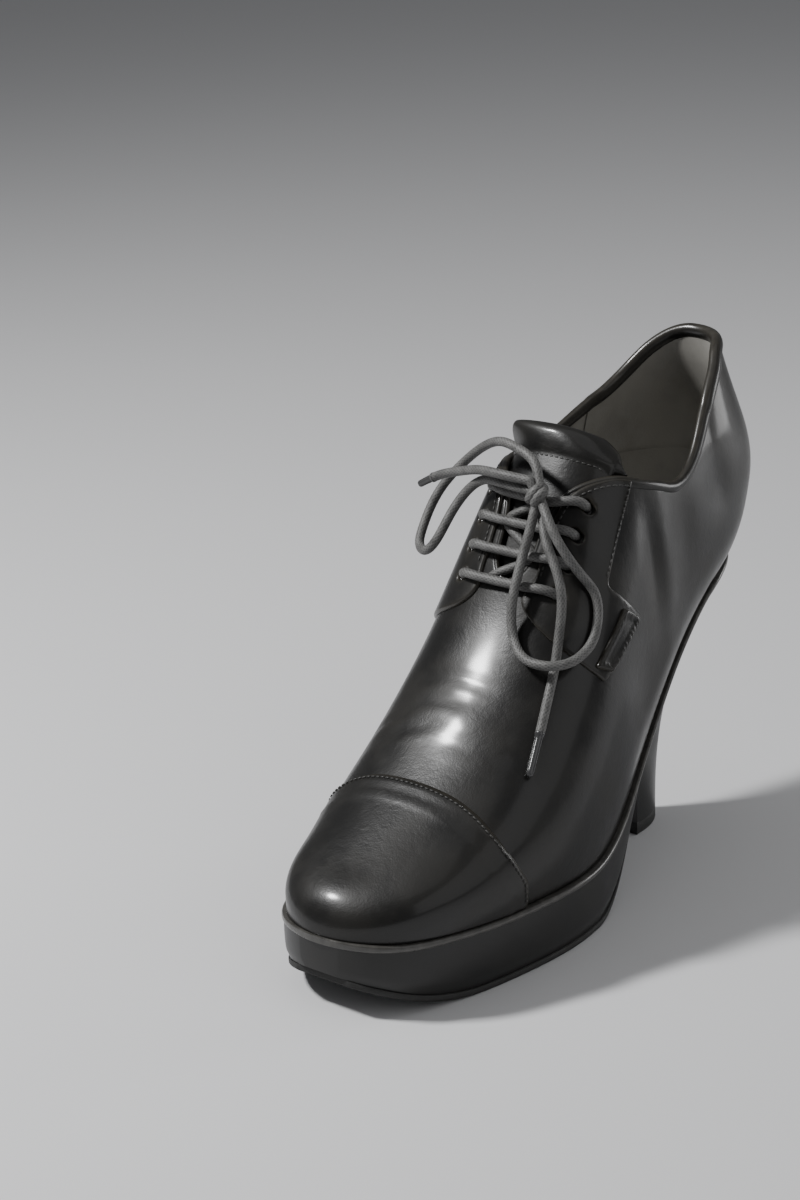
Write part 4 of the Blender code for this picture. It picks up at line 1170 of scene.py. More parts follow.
@dataclass
class Overlays:
    """Leather laid over the upper: toe cap, eyestays with their eyelets, and the bar of the side tab."""

    last: Last
    upper: Upper
    thick: float = 1.3
    sunk: float = 0.4
    edge_round: float = 1.0
    cell: float = 1.0
    stretch: float = 1.6
    gap_edge: float = 8.6
    gap_foot: float = 21.5
    stitch_inset: float = 1.6
    edge_low: float = 0.3
    top_drop: float = 0.6
    corner: float = 2.2
    # Reach of the lighter cut edges: wear, and a painted highlight along each edge
    edge_lightening: float = 0.7
    toe_cap_line: Outline = (
        (-26.5, 25.5), (-28.2, 35.0), (-32.6, 42.5), (-35.4, 48.5),
        (-36.2, 54.0), (-35.4, 62.0), (-35.2, 75.0),
    )
    back_top: tuple[float, float] = (57.5, 152.0)
    back_foot: tuple[float, float] = (34.8, 118.0)
    tab_upper: tuple[float, float] = (48.2, 103.8)
    tab_lower: tuple[float, float] = (22.5, 88.3)
    front_lateral: Outline = ((16.0, 96.6), (13.3, 103.7), (14.2, 108.6))
    front_medial: Outline = ((36.0, 86.0), (19.7, 99.6), (14.7, 106.9), (15.9, 111.0))
    back_foot_medial: tuple[float, float] = (52.0, 98.0)
    tab_bar: Outline = ((38.2, 109.8), (19.8, 93.8), (25.8, 90.7), (46.0, 104.2))

    def __post_init__(self) -> None:
        """Lays out both sides flat."""
        self.patch = {side: SidePatch(self.last, side) for side in Side}

    def eyestay_outline(self, side: Side) -> Points:
        """Side-view outline of an eyestay, from the gap's foot up and round."""
        top = self.gap_line(side, self.gap_foot, self.back_top[0], 60)
        if side is Side.LATERAL:
            rest, front = [self.back_foot, self.tab_upper], [self.tab_lower, *self.front_lateral]
        else:
            rest, front = [self.back_foot_medial], self.front_medial
        joined, spacing = 6, 1.5
        curve = smooth_route([*front, top[0], top[joined]], spacing)
        return rounded(np.array([*top[joined + 1:], *rest, *curve]), self.corner)

    def gap_line(self, side: Side, first: float, last: float, count: int) -> list[tuple[float, float]]:
        """Side-view points of an eyestay's edge along the lacing gap, between two stations."""
        stations = np.linspace(first, last, count)
        return [(y, self.last.top_z(y, side, self.gap_edge) - self.top_drop) for y in stations]

    def flat_sheet(
        self, side: Side, outline: Points, holes: Sequence[Points]
    ) -> tuple[Points, list[list[int]], Points]:
        """Triangles of a sheet inside an outline.

        Args:
            side: Side of the boot.
            outline: Flat outline (y, distance down).
            holes: Flat outlines of holes.

        Returns:
            Flat points, triangles, and the distance on the form from each point to the nearest edge.
        """
        edge_spacing, clear_of_edge, clear_of_ring, merge = 0.6, 1.1, 0.22, 1e-5
        scale = np.array([self.stretch, 1.0])
        loops = [densify(loop * scale, edge_spacing) for loop in (outline, *holes)]
        rings = [self.inset(loops[0], d, 1.0) for d in (0.3, 0.7)]
        rings += [self.inset(hole, d, -1.0) for hole in loops[1:] for d in (0.35, 0.8)]
        low, high = loops[0].min(axis=0), loops[0].max(axis=0)
        xs, ys = np.meshgrid(np.arange(low[0], high[0], self.cell), np.arange(low[1], high[1], self.cell))
        xs = xs + (np.arange(len(xs)) % 2)[:, None] * self.cell / 2
        loose = np.stack([xs.ravel(), ys.ravel()], axis=-1)
        loose = loose[self.within(loose, loops)]
        edges_all = np.concatenate(loops)
        loose = loose[nearest(loose, edges_all) > clear_of_edge]
        ring_points = np.concatenate(rings)
        ring_points = ring_points[inside(ring_points, loops[0])]
        ring_points = ring_points[nearest(ring_points, edges_all) > clear_of_ring]
        points = np.concatenate([edges_all, ring_points, loose])
        edges, start = [], 0
        for loop in loops:
            edges += [(start + k, start + (k + 1) % len(loop)) for k in range(len(loop))]
            start += len(loop)
        result = delaunay_2d_cdt([Vector(p) for p in points], edges, [], 0, merge)
        flat = np.array([tuple(v) for v in result[0]])
        triangles = np.array(result[2])
        triangles = triangles[self.within(flat[triangles].mean(axis=1), loops)]
        flat = flat / scale
        solid, _ = self.patch[side].sample(flat[:, 0], flat[:, 1])
        edge_flat = edges_all / scale
        edge_solid, _ = self.patch[side].sample(edge_flat[:, 0], edge_flat[:, 1])
        return flat, triangles.tolist(), nearest(solid, edge_solid)

    def within(self, points: Points, loops: Sequence[Points]) -> Points:
        """Which points lie inside the first loop and outside the others."""
        keep = inside(points, loops[0])
        for hole in loops[1:]:
            keep &= ~inside(points, hole)
        return keep

    def inset(self, loop: Points, distance: float, sign: float) -> Points:
        """Loop moved inwards (sign 1) or outwards (sign -1) by a distance."""
        along = unit(np.roll(loop, -1, axis=0) - np.roll(loop, 1, axis=0))
        turn = np.sum(loop[:, 0] * np.roll(loop[:, 1], -1) - np.roll(loop[:, 0], -1) * loop[:, 1])
        inward = np.stack([-along[:, 1], along[:, 0]], axis=-1) * np.sign(turn)
        return loop + inward * distance * sign

    def laid_on(
        self,
        name: str,
        side: Side,
        outline: Points,
        holes: Sequence[Points],
        base: float,
        thick: float,
        relief: Callable[[Points], Points] | None = None,
    ) -> Mesh:
        """Closed leather sheet on the form, with rounded edges.

        Args:
            name: The mesh's name.
            side: Side of the boot.
            outline: Flat outline.
            holes: Flat outlines of its holes.
            base: Height of its underside above the form.
            thick: Its thickness.
            relief: Extra height from distances to the edge, or None.

        Returns:
            The mesh, with a lighter value along its edges for wear and a painted edge highlight.
        """
        flat, triangles, edge = self.flat_sheet(side, outline, holes)
        solid, outward = self.patch[side].sample(flat[:, 0], flat[:, 1])
        height = base + self.sunk + (thick - self.sunk) * self.edge_rise(edge)
        if relief is not None:
            height = height + relief(edge)
        count = len(flat)
        points = np.concatenate([solid + outward * height[:, None], solid + outward * base])
        used: dict[tuple[int, int], None] = {}
        for a, b, c in triangles:
            used.update(dict.fromkeys(((a, b), (b, c), (c, a))))
        rim = [(a, b) for a, b in used if (b, a) not in used]
        faces = [list(t) for t in triangles] + [[v + count for v in t[::-1]] for t in triangles]
        faces += [[b, a, a + count, b + count] for a, b in rim]
        mesh = face_outwards(new_mesh(name, points, faces))
        set_attribute(mesh, "wear_and_sheen", np.tile(np.exp(-edge / self.edge_lightening), 2))
        return mesh

    def edge_rise(self, edge: Points) -> Points:
        """Share of a sheet's thickness at distances from its cut edge."""
        return self.edge_low + (1 - self.edge_low) * round_off(edge / self.edge_round)

    def row_inside(self, side: Side, line: Points, distance: float, height: float) -> tuple[Points, Points]:
        """Stitch row that runs along a flat line, moved inwards on the form."""
        flat = densify_open(line, 0.8)
        solid, outward = self.patch[side].sample(flat[:, 0], flat[:, 1])
        along = unit(np.gradient(solid, axis=0))
        inward = unit(np.cross(outward, along))
        return solid + inward * distance + outward * height, outward

    def build_eyestays(self, shop: Workshop) -> None:
        """Both eyestays and their stitching."""
        rows = []
        for side in Side:
            patch = self.patch[side]
            outline = patch.flatten(self.eyestay_outline(side))
            holes = []
            for place in self.upper.eyelets:
                y, down = patch.flatten(np.array([place]))[0]
                holes.append(patch.slot(y, down, self.upper.eyelet_hole / 2, self.upper.eyelet_drawn))
            name = f"eyestay_{side.name.lower()}"
            mesh = self.laid_on(name + "_leather", side, outline, holes, -self.sunk, self.thick + self.sunk)
            shop.add(name + "_leather", mesh, (POLISHED_LEATHER,), Slot.LEATHER, (name,))
            rows += self.eyestay_rows(side)
        shop.add("eyestay_stitches", EYESTAY_SEAM.sew(rows), (THREAD,), Slot.LEATHER)

    def eyestay_rows(self, side: Side) -> list[tuple[Points, Points]]:
        """Stitch rows along an eyestay's back seam, gap edge and foot."""
        patch = self.patch[side]
        height, first, last = self.thick * 0.98, 22.5, 56.0
        top = np.array(self.gap_line(side, first, last, 40))
        foot = self.back_foot if side is Side.LATERAL else self.back_foot_medial
        seam = np.array([(self.back_top[0] - 0.6, top[-1][1] - 2.0), (foot[0] + 0.8, foot[1] + 1.2)])
        rows = []
        # Line, distance of the row inwards from it
        for line, distance in ((seam, -1.2), (top[::-1], 2.4)):
            flat = patch.flatten(densify_open(line, 1.0))
            rows.append(self.row_inside(side, flat, distance * side.value, height))
        return rows

    def build_tab_bar(self, shop: Workshop) -> None:
        """Raised bar of the side tab, with a rim round a flat middle."""
        patch = self.patch[Side.LATERAL]
        corner, spacing, thick, sunk = 1.2, 0.7, 1.5, 0.3
        outline = patch.flatten(densify(rounded(np.array(self.tab_bar), corner), spacing))

        def rim(edge: Points) -> Points:
            """Raised rim near the bar's edge, round a middle that lies lower."""
            high, low = 0.55, 0.35
            return high * np.exp(-(((edge - 1.1) / 0.55) ** 2)) - low * smoothstep((edge - 1.6) / 0.8)

        name = "side_tab_bar"
        mesh = self.laid_on(name + "_leather", Side.LATERAL, outline, (), self.thick - sunk, thick, rim)
        shop.add(name + "_leather", mesh, (POLISHED_LEATHER,), Slot.LEATHER, (name,))

    def seam_y(self, z: Points) -> Points:
        """Station of the toe cap's edge at a height."""
        line = np.array(self.toe_cap_line)
        return np.interp(z, line[:, 1], line[:, 0])

    def toe_cap_sheet(self, levels: int, steps: int) -> tuple[Points, Points]:
        """Points and outward directions over the toe, from its tip to the cap's seam.

        Args:
            levels: Points of each side, from the foot edge to the ridge.
            steps: Rows from the tip to the seam.

        Returns:
            Grids of points and of directions, from the lateral foot edge to the medial one.
        """
        first_guess, rounds = -38.0, 8
        shares = np.linspace(0.0, 1.0, levels)
        grids = []
        for side in Side:
            seam = np.full(levels, first_guess)
            for _ in range(rounds):
                heights = [self.at_level(y, share, side)[2] for y, share in zip(seam, shares)]
                seam = self.seam_y(np.array(heights))
            grid = []
            for t in np.linspace(0.0, math.pi / 2, steps):
                ys = self.last.toe_tip + (seam - self.last.toe_tip) * (1 - math.cos(t))
                grid.append([self.at_level(y, share, side) for y, share in zip(ys, shares)])
            grids.append(np.array(grid))
        lateral, medial = grids
        sheet = np.concatenate([lateral, medial[:, ::-1][:, 1:]], axis=1)
        along, across = np.gradient(sheet, axis=0), np.gradient(sheet, axis=1)
        outward = unit(np.cross(across, along))
        outward[0] = np.array([0.0, -1.0, 0.0])
        middle = np.array([0.0, -45.0, 38.0])
        return sheet, outward * np.sign(np.sum(outward * (sheet - middle), axis=2, keepdims=True))

    def build_toe_cap(self, shop: Workshop) -> None:
        """Toe cap from the toe to its seam, with the stiffener's edge showing through."""
        steps = 56
        sheet, outward = self.toe_cap_sheet(60, steps)
        seam_gap = np.linalg.norm(sheet - sheet[-1:], axis=2)
        height = self.thick * self.edge_rise(seam_gap)
        stiffener, ridge, step = seam_gap - 8.8, 0.22, 0.12
        height = height + ridge * np.exp(-((stiffener / 0.9) ** 2)) - step * smoothstep(-stiffener / 2.0)
        top = sheet + outward * height[:, :, None]
        bottom = sheet - outward * self.sunk
        wide = sheet.shape[1]
        points = np.concatenate([top.reshape(-1, 3), bottom.reshape(-1, 3)])
        faces = []
        count = steps * wide
        for i in range(steps - 1):
            for j in range(wide - 1):
                a = i * wide + j
                faces.append([a, a + 1, a + wide + 1, a + wide])
                faces.append([v + count for v in (a + wide, a + wide + 1, a + 1, a)])
        loop = [i * wide for i in range(steps)] + [(steps - 1) * wide + j for j in range(1, wide)]
        loop += [i * wide + wide - 1 for i in range(steps - 2, -1, -1)]
        faces += [[a, b, b + count, a + count] for a, b in zip(loop[:-1], loop[1:])]
        faces += [[j + 1, j, j + count, j + 1 + count] for j in range(wide - 1)]
        mesh = face_outwards(new_mesh("toe_cap_leather", points, faces), weld=0.004)
        found, _ = mesh_points(mesh)
        # The cap's seam edge is lighter: wear and a painted edge highlight
        set_attribute(mesh, "wear_and_sheen", np.exp(-nearest(found, top[-1]) / self.edge_lightening))
        shop.add("toe_cap_leather", mesh, (POLISHED_LEATHER,), Slot.LEATHER, ("toe_cap",))
        row = steps - 1 - int(np.argmax(seam_gap[::-1, wide // 2] > self.stitch_inset))
        mesh = TOE_CAP_SEAM.sew([(top[row, 2:-2], outward[row, 2:-2])])
        shop.add("toe_cap_stitches", mesh, (THREAD,), Slot.LEATHER)

    def at_level(self, y: float, share: float, side: Side) -> Points:
        """Point of the closed form at a share of the way from foot edge to ridge."""
        section = self.last.profile(y, side)
        length = arc_lengths(section)
        x, z = interpolate(share * length[-1], length, section)
        return np.array([side.value * x, y, z])


@dataclass
class Tongue:
    """Padded tongue under the lacing gap, with a rolled top edge and a stitch row."""

    last: Last
    foot: float = 9.0
    top: float = 51.6
    half: float = 24.0
    under: float = 2.3
    thick: float = 2.4
    roll: float = 1.5
    roll_depth: float = 6.4
    shoulder: float = 4.5
    free_start: float = 45.5
    free_length: float = 6.1
    turn_lateral: float = 1.7
    turn_medial: float = 0.6
    slip: float = -3.0
    corner_share: float = 0.25
    end_round: float = 2.2
    side_round: float = 2.0
    side_low: float = 0.25
    roll_turn: float = 0.72
    stitch_drop: float = 0.4
    crowding: float = 1.4
    rows: int = 96
    columns: int = 61

    def turned(self, columns: Points, rows: Points) -> Points:
        """Points on the form, with the part above the collar turned and slipped to the medial side."""
        ridge = np.stack([columns, rows, self.last.ridge_z(rows)], axis=-1)
        free = smoothstep((rows - self.free_start) / self.free_length)
        turn = 1 + (np.where(columns > 0, self.turn_lateral, self.turn_medial) - 1) * free
        grid = ridge + (self.last.over_ridge(columns, rows) - ridge) * turn[..., None]
        grid[..., 0] += self.slip * free
        return grid

    def build(self, shop: Workshop) -> None:
        """Makes the tongue and its stitching."""
        columns = np.linspace(-self.half, self.half, self.columns)
        corner_width = self.half * self.corner_share
        corner = np.clip((np.abs(columns) - self.half + corner_width) / corner_width, 0.0, 1.0)
        fall = self.shoulder * (1 - np.sqrt(1 - corner**2))
        shares = 1 - (1 - np.linspace(0.0, 1.0, self.rows)) ** self.crowding
        tops = self.top - fall
        rows = self.foot + shares[:, None] * (tops - self.foot)[None, :]
        grid = self.turned(np.broadcast_to(columns, rows.shape), rows)
        outward = unit(np.cross(np.gradient(grid, axis=1), np.gradient(grid, axis=0)))
        below = tops[None, :] - rows
        pad = np.clip((self.roll_depth - below) / self.roll_depth, 0.0, 1.0)
        swell = self.roll * np.sin(pad * self.roll_turn * math.pi)
        side = round_off((self.half - np.abs(columns)) / self.side_round)
        body = round_off(below / self.end_round) * (self.side_low + (1 - self.side_low) * side[None, :])
        middle = grid - outward * (self.under + self.thick / 2)
        front = middle + outward * ((self.thick / 2 + swell) * body)[:, :, None]
        back = middle - outward * (self.thick / 2 * body)[:, :, None]
        rings = [np.concatenate([f, b[::-1]]) for f, b in zip(front, back)]
        mesh = ring_mesh("tongue_leather", rings, weld=0.003)
        shop.add("tongue_leather", mesh, (POLISHED_LEATHER,), Slot.LEATHER, ("tongue",))
        row = int(np.argmin(np.abs(below[:, self.columns // 2] - self.roll_depth - self.stitch_drop)))
        mesh = TONGUE_SEAM.sew([(front[row, 4:-4], outward[row, 4:-4])])
        shop.add("tongue_stitches", mesh, (THREAD,), Slot.LEATHER)


@dataclass
class Sole:
    """Layers under the upper: insole, welt bead, platform, outsole, heel and its wearing piece."""

    last: Last
    gap: float = 0.2
    wall: float = 1.8
    welt_ledge: float = 2.2
    welt: float = 2.2
    platform_set_back: float = 0.9
    platform_tuck: float = 1.8
    platform_swell: float = 0.35
    platform_end: float = 52.0
    outsole: float = 2.4
    outsole_set_back: float = 2.0
    outsole_end: float = 79.2
    tread_front: float = -44.0
    tread_back: float = 14.0
    toe_spring: float = 12.4
    waist_start: float = 58.0
    insole: float = 2.4
    insole_set_back: float = 0.6
    cad_gap: float = 0.35
    sliver: float = 0.02
    stations: int = 170
    heel_breast: float = 80.0
    tip_front: float = 84.0
    tip_back: float = 105.0
    tip_half: float = 10.5
    top_piece: float = 5.0
    heel_flare: float = 2.5
    heel_set_back: float = 1.2
    tip_round: float = 0.8

    def ends(self, ledge: float) -> tuple[float, float]:
        """Front and back of a layer that stands out by a ledge."""
        return self.last.toe_tip - ledge, self.last.heel_end + ledge

    def outline(self, y: float, side: Side, ledge: float) -> float:
        """Half width of a layer that stands out from the upper's foot edge by a ledge."""
        front, back = self.ends(ledge)
        share = (y - front) / (back - front)
        foot_y = self.last.toe_tip + share * (self.last.heel_end - self.last.toe_tip)
        from_end = min(y - front, back - y) / (3 * abs(ledge))
        full = math.sqrt(max(1 - (1 - min(from_end, 1.0)) ** 2, 0.0))
        return float(self.last.plan_half(foot_y, side)) + ledge * full

    def top(self, y: float) -> float:
        """Height of the welt's top."""
        return float(self.last.edge_z(y)) - self.cad_gap

    def tread(self, y: float) -> float:
        """Underside of the outsole: toe spring, flat forefoot, waist."""
        if y < self.tread_front:
            front = self.ends(self.welt_ledge)[0]
            return self.toe_spring * ((self.tread_front - y) / (self.tread_front - front)) ** 2
        waist = self.top(y) - self.welt - self.cad_gap - self.outsole
        return waist * float(smoothstep((y - self.tread_back) / (self.waist_start - self.tread_back)))

    def places(self, ledge: float, first: float = -1e9, last: float = 1e9) -> Points:
        """Stations along the foot, closer together at its round ends."""
        front, back = self.ends(ledge)
        front, back = front + self.sliver, back - self.sliver
        ys = front + (back - front) * (1 - np.cos(np.linspace(0.0, math.pi, self.stations))) / 2
        ys = ys[(ys >= first) & (ys <= last)]
        return np.append(ys, last) if last < back else ys

    def slab(
        self, name: str, places: Points, ledge: float, section: Callable[[float], Outline]
    ) -> Mesh:
        """Closed layer of the sole.

        Args:
            name: The mesh's name.
            places: Stations.
            ledge: How far the layer's outline stands out from the foot edge.
            section: (set back, z) pairs at a station, from top edge to bottom edge.

        Returns:
            The mesh.
        """
        rings = []
        for y in places:
            edge, ring = section(y), []
            for side, line in ((Side.LATERAL, edge), (Side.MEDIAL, edge[::-1])):
                half = self.outline(y, side, ledge)
                ring += [(side.value * max(half - inset, self.sliver), y, z) for inset, z in line]
            rings.append(np.array(ring))
        return ring_mesh(name, rings, sharp=50)

    def welt_section(self, y: float) -> Outline:
        """Round bead, with its inner part under the upper."""
        top = self.top(y) + self.gap
        turn = np.linspace(math.pi / 2, -math.pi / 2, 11)
        radius, flatness, under = (self.welt + self.gap) / 2, 0.75, 7.0
        bead = [(flatness * radius * (1 - math.cos(t)), top - radius + radius * math.sin(t)) for t in turn]
        return [(under, top), *bead]

    def platform_section(self, y: float) -> Outline:
        """Leather-covered wall with a slight swell, tucked in at its lower edge."""
        top = self.top(y) - self.welt
        bottom = self.tread(y) + self.outsole + 0.1
        wall, tuck = self.platform_set_back, self.platform_tuck
        shares = np.linspace(0.0, 1.0, 12)
        swell = self.platform_swell * np.sin(math.pi * shares)
        turn, slope = 0.75, 0.25
        turned_in = slope + (1 - slope) * smoothstep((shares - turn) / (1 - turn))
        inset = wall + tuck * np.where(shares < turn, shares * slope / turn, turned_in)
        return [(float(i - s), float(top + (bottom - top) * t)) for i, s, t in zip(inset, swell, shares)]

    def outsole_section(self, y: float) -> Outline:
        """Thin sole with a rounded lower edge."""
        bottom, inset = self.tread(y), self.outsole_set_back
        low, high = 0.8, 0.2
        turn = np.linspace(0.0, math.pi / 2, 5)
        edge = [(inset + low * (1 - math.cos(t)), bottom + low * (1 - math.sin(t))) for t in turn]
        return [(inset + high, bottom + self.outsole), (inset, bottom + self.outsole - high), *edge]

    def insole_section(self, y: float) -> Outline:
        """Board with a soft upper edge."""
        foot = float(self.last.edge_z(y)) + 0.1
        top = foot + self.insole + 0.2
        turn = np.linspace(math.pi / 2, 0.0, 6)
        return [(1 - math.cos(t), top - 1 + math.sin(t)) for t in turn] + [(0.0, foot)]

    def build(self, shop: Workshop) -> None:
        """Makes every layer."""
        painted_bead_highlight, edge_lightening, tread_wear, edge_height = 0.9, 0.5, 0.1, 0.7
        ledge = self.welt_ledge
        front = self.ends(ledge)[0]
        mesh = self.slab("welt_bead", self.places(ledge), ledge, self.welt_section)
        points, _ = mesh_points(mesh)
        # The whole bead is mixed towards the lighter colour: a painted highlight
        set_attribute(mesh, "wear_and_sheen", np.full(len(points), painted_bead_highlight))
        shop.add("welt_bead", mesh, (WELT_LEATHER,), Slot.LEATHER, ("welt",))
        places = self.places(ledge, front + self.platform_set_back, self.platform_end)
        mesh = self.slab("platform_cover", places, ledge, self.platform_section)
        shop.add("platform_cover", mesh, (SOLE_LEATHER,), Slot.LEATHER, ("platform",))
        places = self.places(ledge, front + self.outsole_set_back, self.outsole_end)
        mesh = self.slab("outsole_rubber", places, ledge, self.outsole_section)
        points, _ = mesh_points(mesh)
        low = np.array([self.tread(y) for y in points[:, 1]])
        set_attribute(mesh, "wear_and_sheen", np.where(points[:, 2] - low > edge_height, edge_lightening, tread_wear))
        shop.add("outsole_rubber", mesh, (SOLE_RUBBER,), Slot.SOLE, ("outsole",))
        inner = -(self.wall + self.insole_set_back)
        mesh = self.slab("insole_sock", self.places(inner), inner, self.insole_section)
        shop.add("insole_sock", mesh, (LINING_LEATHER,), Slot.LINING, ("insole",))
        self.build_heel(shop)

    def seat_outline(self, count: int) -> Points:
        """Heel's outline under the welt, from the lateral breast corner round the back to the medial one."""
        back_end = self.ends(self.welt_ledge)[1] - self.heel_set_back
        points = []
        for t in np.linspace(-1.0, 1.0, count):
            side = Side.LATERAL if t <= 0 else Side.MEDIAL
            y = self.heel_breast + (back_end - self.heel_breast) * math.cos(t * math.pi / 2)
            half = self.outline(y, side, self.welt_ledge) - self.heel_set_back
            points.append((side.value * max(half, 0.0) if abs(t) > 1e-6 else 0.0, y))
        return np.array(points)

    def tip_outline(self, count: int, shrink: float) -> Points:
        """Outline of the heel's foot."""
        half, depth = self.tip_half - shrink, self.tip_back - self.tip_front - 2 * shrink
        turn = np.linspace(-1.0, 1.0, count) * math.pi / 2
        x = -half * np.sign(turn) * np.abs(np.sin(turn)) ** self.tip_round
        y = self.tip_front + shrink + depth * np.abs(np.cos(turn)) ** self.tip_round
        return np.stack([x, y], axis=-1)

    def with_breast(self, outline: Points, count: int, hollow: float) -> Points:
        """Outline closed by the heel's front face, slightly hollow."""
        share = np.linspace(0.0, 1.0, count + 2)[1:-1]
        line = outline[-1] + share[:, None] * (outline[0] - outline[-1])
        line[:, 1] += hollow * np.sin(math.pi * share)
        return np.concatenate([outline, line])

    def build_heel(self, shop: Workshop) -> None:
        """Covered heel and its wearing piece."""
        back, front, levels = 61, 15, 48
        seat_hollow, tip_hollow, piece_hollow = 1.0, 0.6, 0.4
        foot_gap, seat_gap = 0.1, 0.05
        seat = self.with_breast(self.seat_outline(back), front, seat_hollow)
        tip = self.with_breast(self.tip_outline(back, 0.0), front, tip_hollow)
        foot_z = self.top_piece + foot_gap
        seat_z = np.array([self.top(y) - self.welt - seat_gap for _, y in seat])
        rings = []
        for t in np.linspace(0.0, 1.0, levels):
            plan = tip + (seat - tip) * t**self.heel_flare
            rings.append(np.column_stack([plan, foot_z + (seat_z - foot_z) * t]))
        mesh = ring_mesh("heel_cover", rings, sharp=45)
        shop.add("heel_cover", mesh, (SOLE_LEATHER,), Slot.LEATHER, ("heel",))
        rings = []
        high = self.top_piece
        # Edge of the wearing piece: set back, z
        edge = ((0.9, 0.0), (0.5, 0.2), (0.2, 0.7), (0.0, 1.4), (0.0, high - 0.4), (0.25, high))
        for shrink, z in edge:
            plan = self.with_breast(self.tip_outline(back, shrink), front, piece_hollow)
            rings.append(np.column_stack([plan, np.full(len(plan), z)]))
        mesh = ring_mesh("heel_wearing_piece", rings, sharp=45)
        shop.add("heel_wearing_piece", mesh, (SOLE_RUBBER,), Slot.SOLE, ("heel_top_piece",))


class Lay(Enum):
    """How a cord lies."""

    LOOSE = "loose"
    HANGING = "hanging"


@dataclass
class Lace:
    """Waxed round lace: bars through the eyelets, crossings below them, and the bow."""

    last: Last
    upper: Upper
    size: float = 3.4
    sides: int = 36
    spacing: float = 0.34
    strands: int = 9
    braid_pitch: float = 1.75
    braid_relief: float = 0.17
    bar_sag: tuple[float, ...] = (0.4, 0.3, 0.8, 2.0)
    sag_middle: float = 6.0
    sag_half: float = 27.0
    sag_share: float = 0.55
    # Bar's way out of an eyelet: height above the upper, shift towards the gap
    dive: Outline = ((-5.0, 0.0), (-1.4, 0.4), (1.2, 1.1), (2.6, 2.9))
    # Bar across the gap: x, height above the form
    bar_lift: Outline = ((-9.6, 3.3), (-5.0, 2.7), (0.0, 2.4), (5.0, 2.7), (9.6, 3.3))
    knot_centre: tuple[float, float, float] = (8.6, 28.0, 148.4)
    aglet_left: float = 6.0
    aglet_right: float = 15.0
    aglet_sides: int = 20
    # Aglet: share of its length, radius
    aglet_profile: Outline = ((0.0, 1.75), (0.05, 1.8), (0.12, 1.42), (0.9, 1.3), (0.97, 1.1), (1.0, 0.5))
    frame_hint: tuple[float, float, float] = (0.3, 0.2, 1.0)
    knot_turns: float = 1.35
    knot_width: float = 3.4
    knot_radius: float = 3.0
    crossing_half: float = 9.5
    crossing_depth: float = 0.5
    crossing_dive: float = 3.3
    dive_from: float = 5.6
    dive_over: float = 3.2
    loop_left: Route = (
        (7.0, 30.5, 153.3), (4.0, 32.8, 157.3), (-3.5, 35.3, 160.3), (-13.0, 38.3, 161.2),
        (-24.5, 43.2, 157.2), (-33.0, 45.5, 151.5), (-38.5, 44.0, 146.0), (-42.5, 40.5, 140.0),
        (-44.7, 36.5, 133.5), (-45.0, 31.5, 126.5), (-43.3, 27.2, 122.4), (-38.4, 23.5, 121.3),
        (-33.2, 22.5, 125.0), (-30.8, 24.8, 130.2), (-29.5, 28.5, 135.5), (-27.5, 32.0, 140.5),
        (-24.0, 33.5, 144.7), (-18.0, 33.0, 148.2), (-9.0, 30.2, 149.4), (1.6, 29.0, 149.2),
    )
    loop_right: Route = (
        (13.2, 25.0, 144.6), (20.6, 21.2, 137.0), (25.7, 21.9, 129.8), (29.2, 25.1, 123.1),
        (32.0, 27.0, 118.0), (34.1, 26.0, 112.8), (35.4, 23.4, 108.0), (36.1, 19.4, 103.4),
        (35.8, 13.6, 100.4), (34.5, 7.2, 99.2), (31.0, 3.0, 98.9), (25.5, 1.4, 99.0),
        (18.9, 2.8, 99.9), (13.4, 5.9, 103.5), (10.6, 8.4, 109.0), (9.8, 10.4, 116.0),
        (9.3, 14.2, 123.4), (8.9, 18.2, 130.1), (9.0, 21.7, 136.7), (8.8, 25.2, 143.2),
    )
    end_left: Route = (
        (2.0, 27.5, 153.2), (-6.0, 27.0, 153.6), (-18.0, 29.8, 152.6), (-29.0, 33.0, 149.5),
        (-37.5, 33.5, 146.8), (-44.0, 32.5, 143.5), (-46.5, 32.0, 142.0),
    )
    end_right: Route = (
        (11.6, 26.3, 140.4), (15.2, 22.6, 135.1), (20.2, 19.8, 129.0), (24.8, 17.2, 122.2),
        (26.6, 15.4, 115.0), (27.2, 12.8, 106.0), (28.3, 9.0, 97.8), (30.8, 0.6, 87.4),
        (33.2, -7.6, 78.2), (36.1, -17.8, 67.4),
    )

    def tube(self, name: str, path: Points) -> Mesh:
        """Braided cord along evenly spaced points.

        Args:
            name: The mesh's name.
            path: Points of its middle line.

        Returns:
            The mesh, with a wear value on the raised strands.
        """
        tangent = unit(np.gradient(path, axis=0))
        across = np.empty_like(path)
        across[0] = unit(np.cross(tangent[0], self.frame_hint))
        for k in range(1, len(path)):
            across[k] = unit(across[k - 1] - tangent[k] * (across[k - 1] @ tangent[k]))
        other = np.cross(tangent, across)
        turn = circle(self.sides)
        along = arc_lengths(path)[:, None] * 2 * math.pi / self.braid_pitch
        around = self.strands * turn[None]
        knobs = 0.5 + 0.5 * np.maximum(np.sin(around + along), np.sin(around - along))
        radius = self.size / 2 - self.braid_relief * (1 - knobs)
        mesh = new_mesh(name, *ring_solid(rings_round(path, radius, across, other, turn)))
        set_attribute(mesh, "wear_and_sheen", knobs.ravel())
        return mesh

    def build(self, shop: Workshop) -> None:
        """Makes the whole lace."""
        self.build_bars(shop)
        self.build_crossings(shop)
        knot = self.build_knot(shop)
        left, right = (smooth_route(route, self.spacing) for route in (self.loop_left, self.loop_right))
        self.declare("lace_loop_left", left, shop)
        self.declare("lace_loop_right", right, shop)
        self.build_end("lace_end_left", self.end_left, self.aglet_left, shop)
        self.build_end("lace_end_right", self.end_right, self.aglet_right, shop)

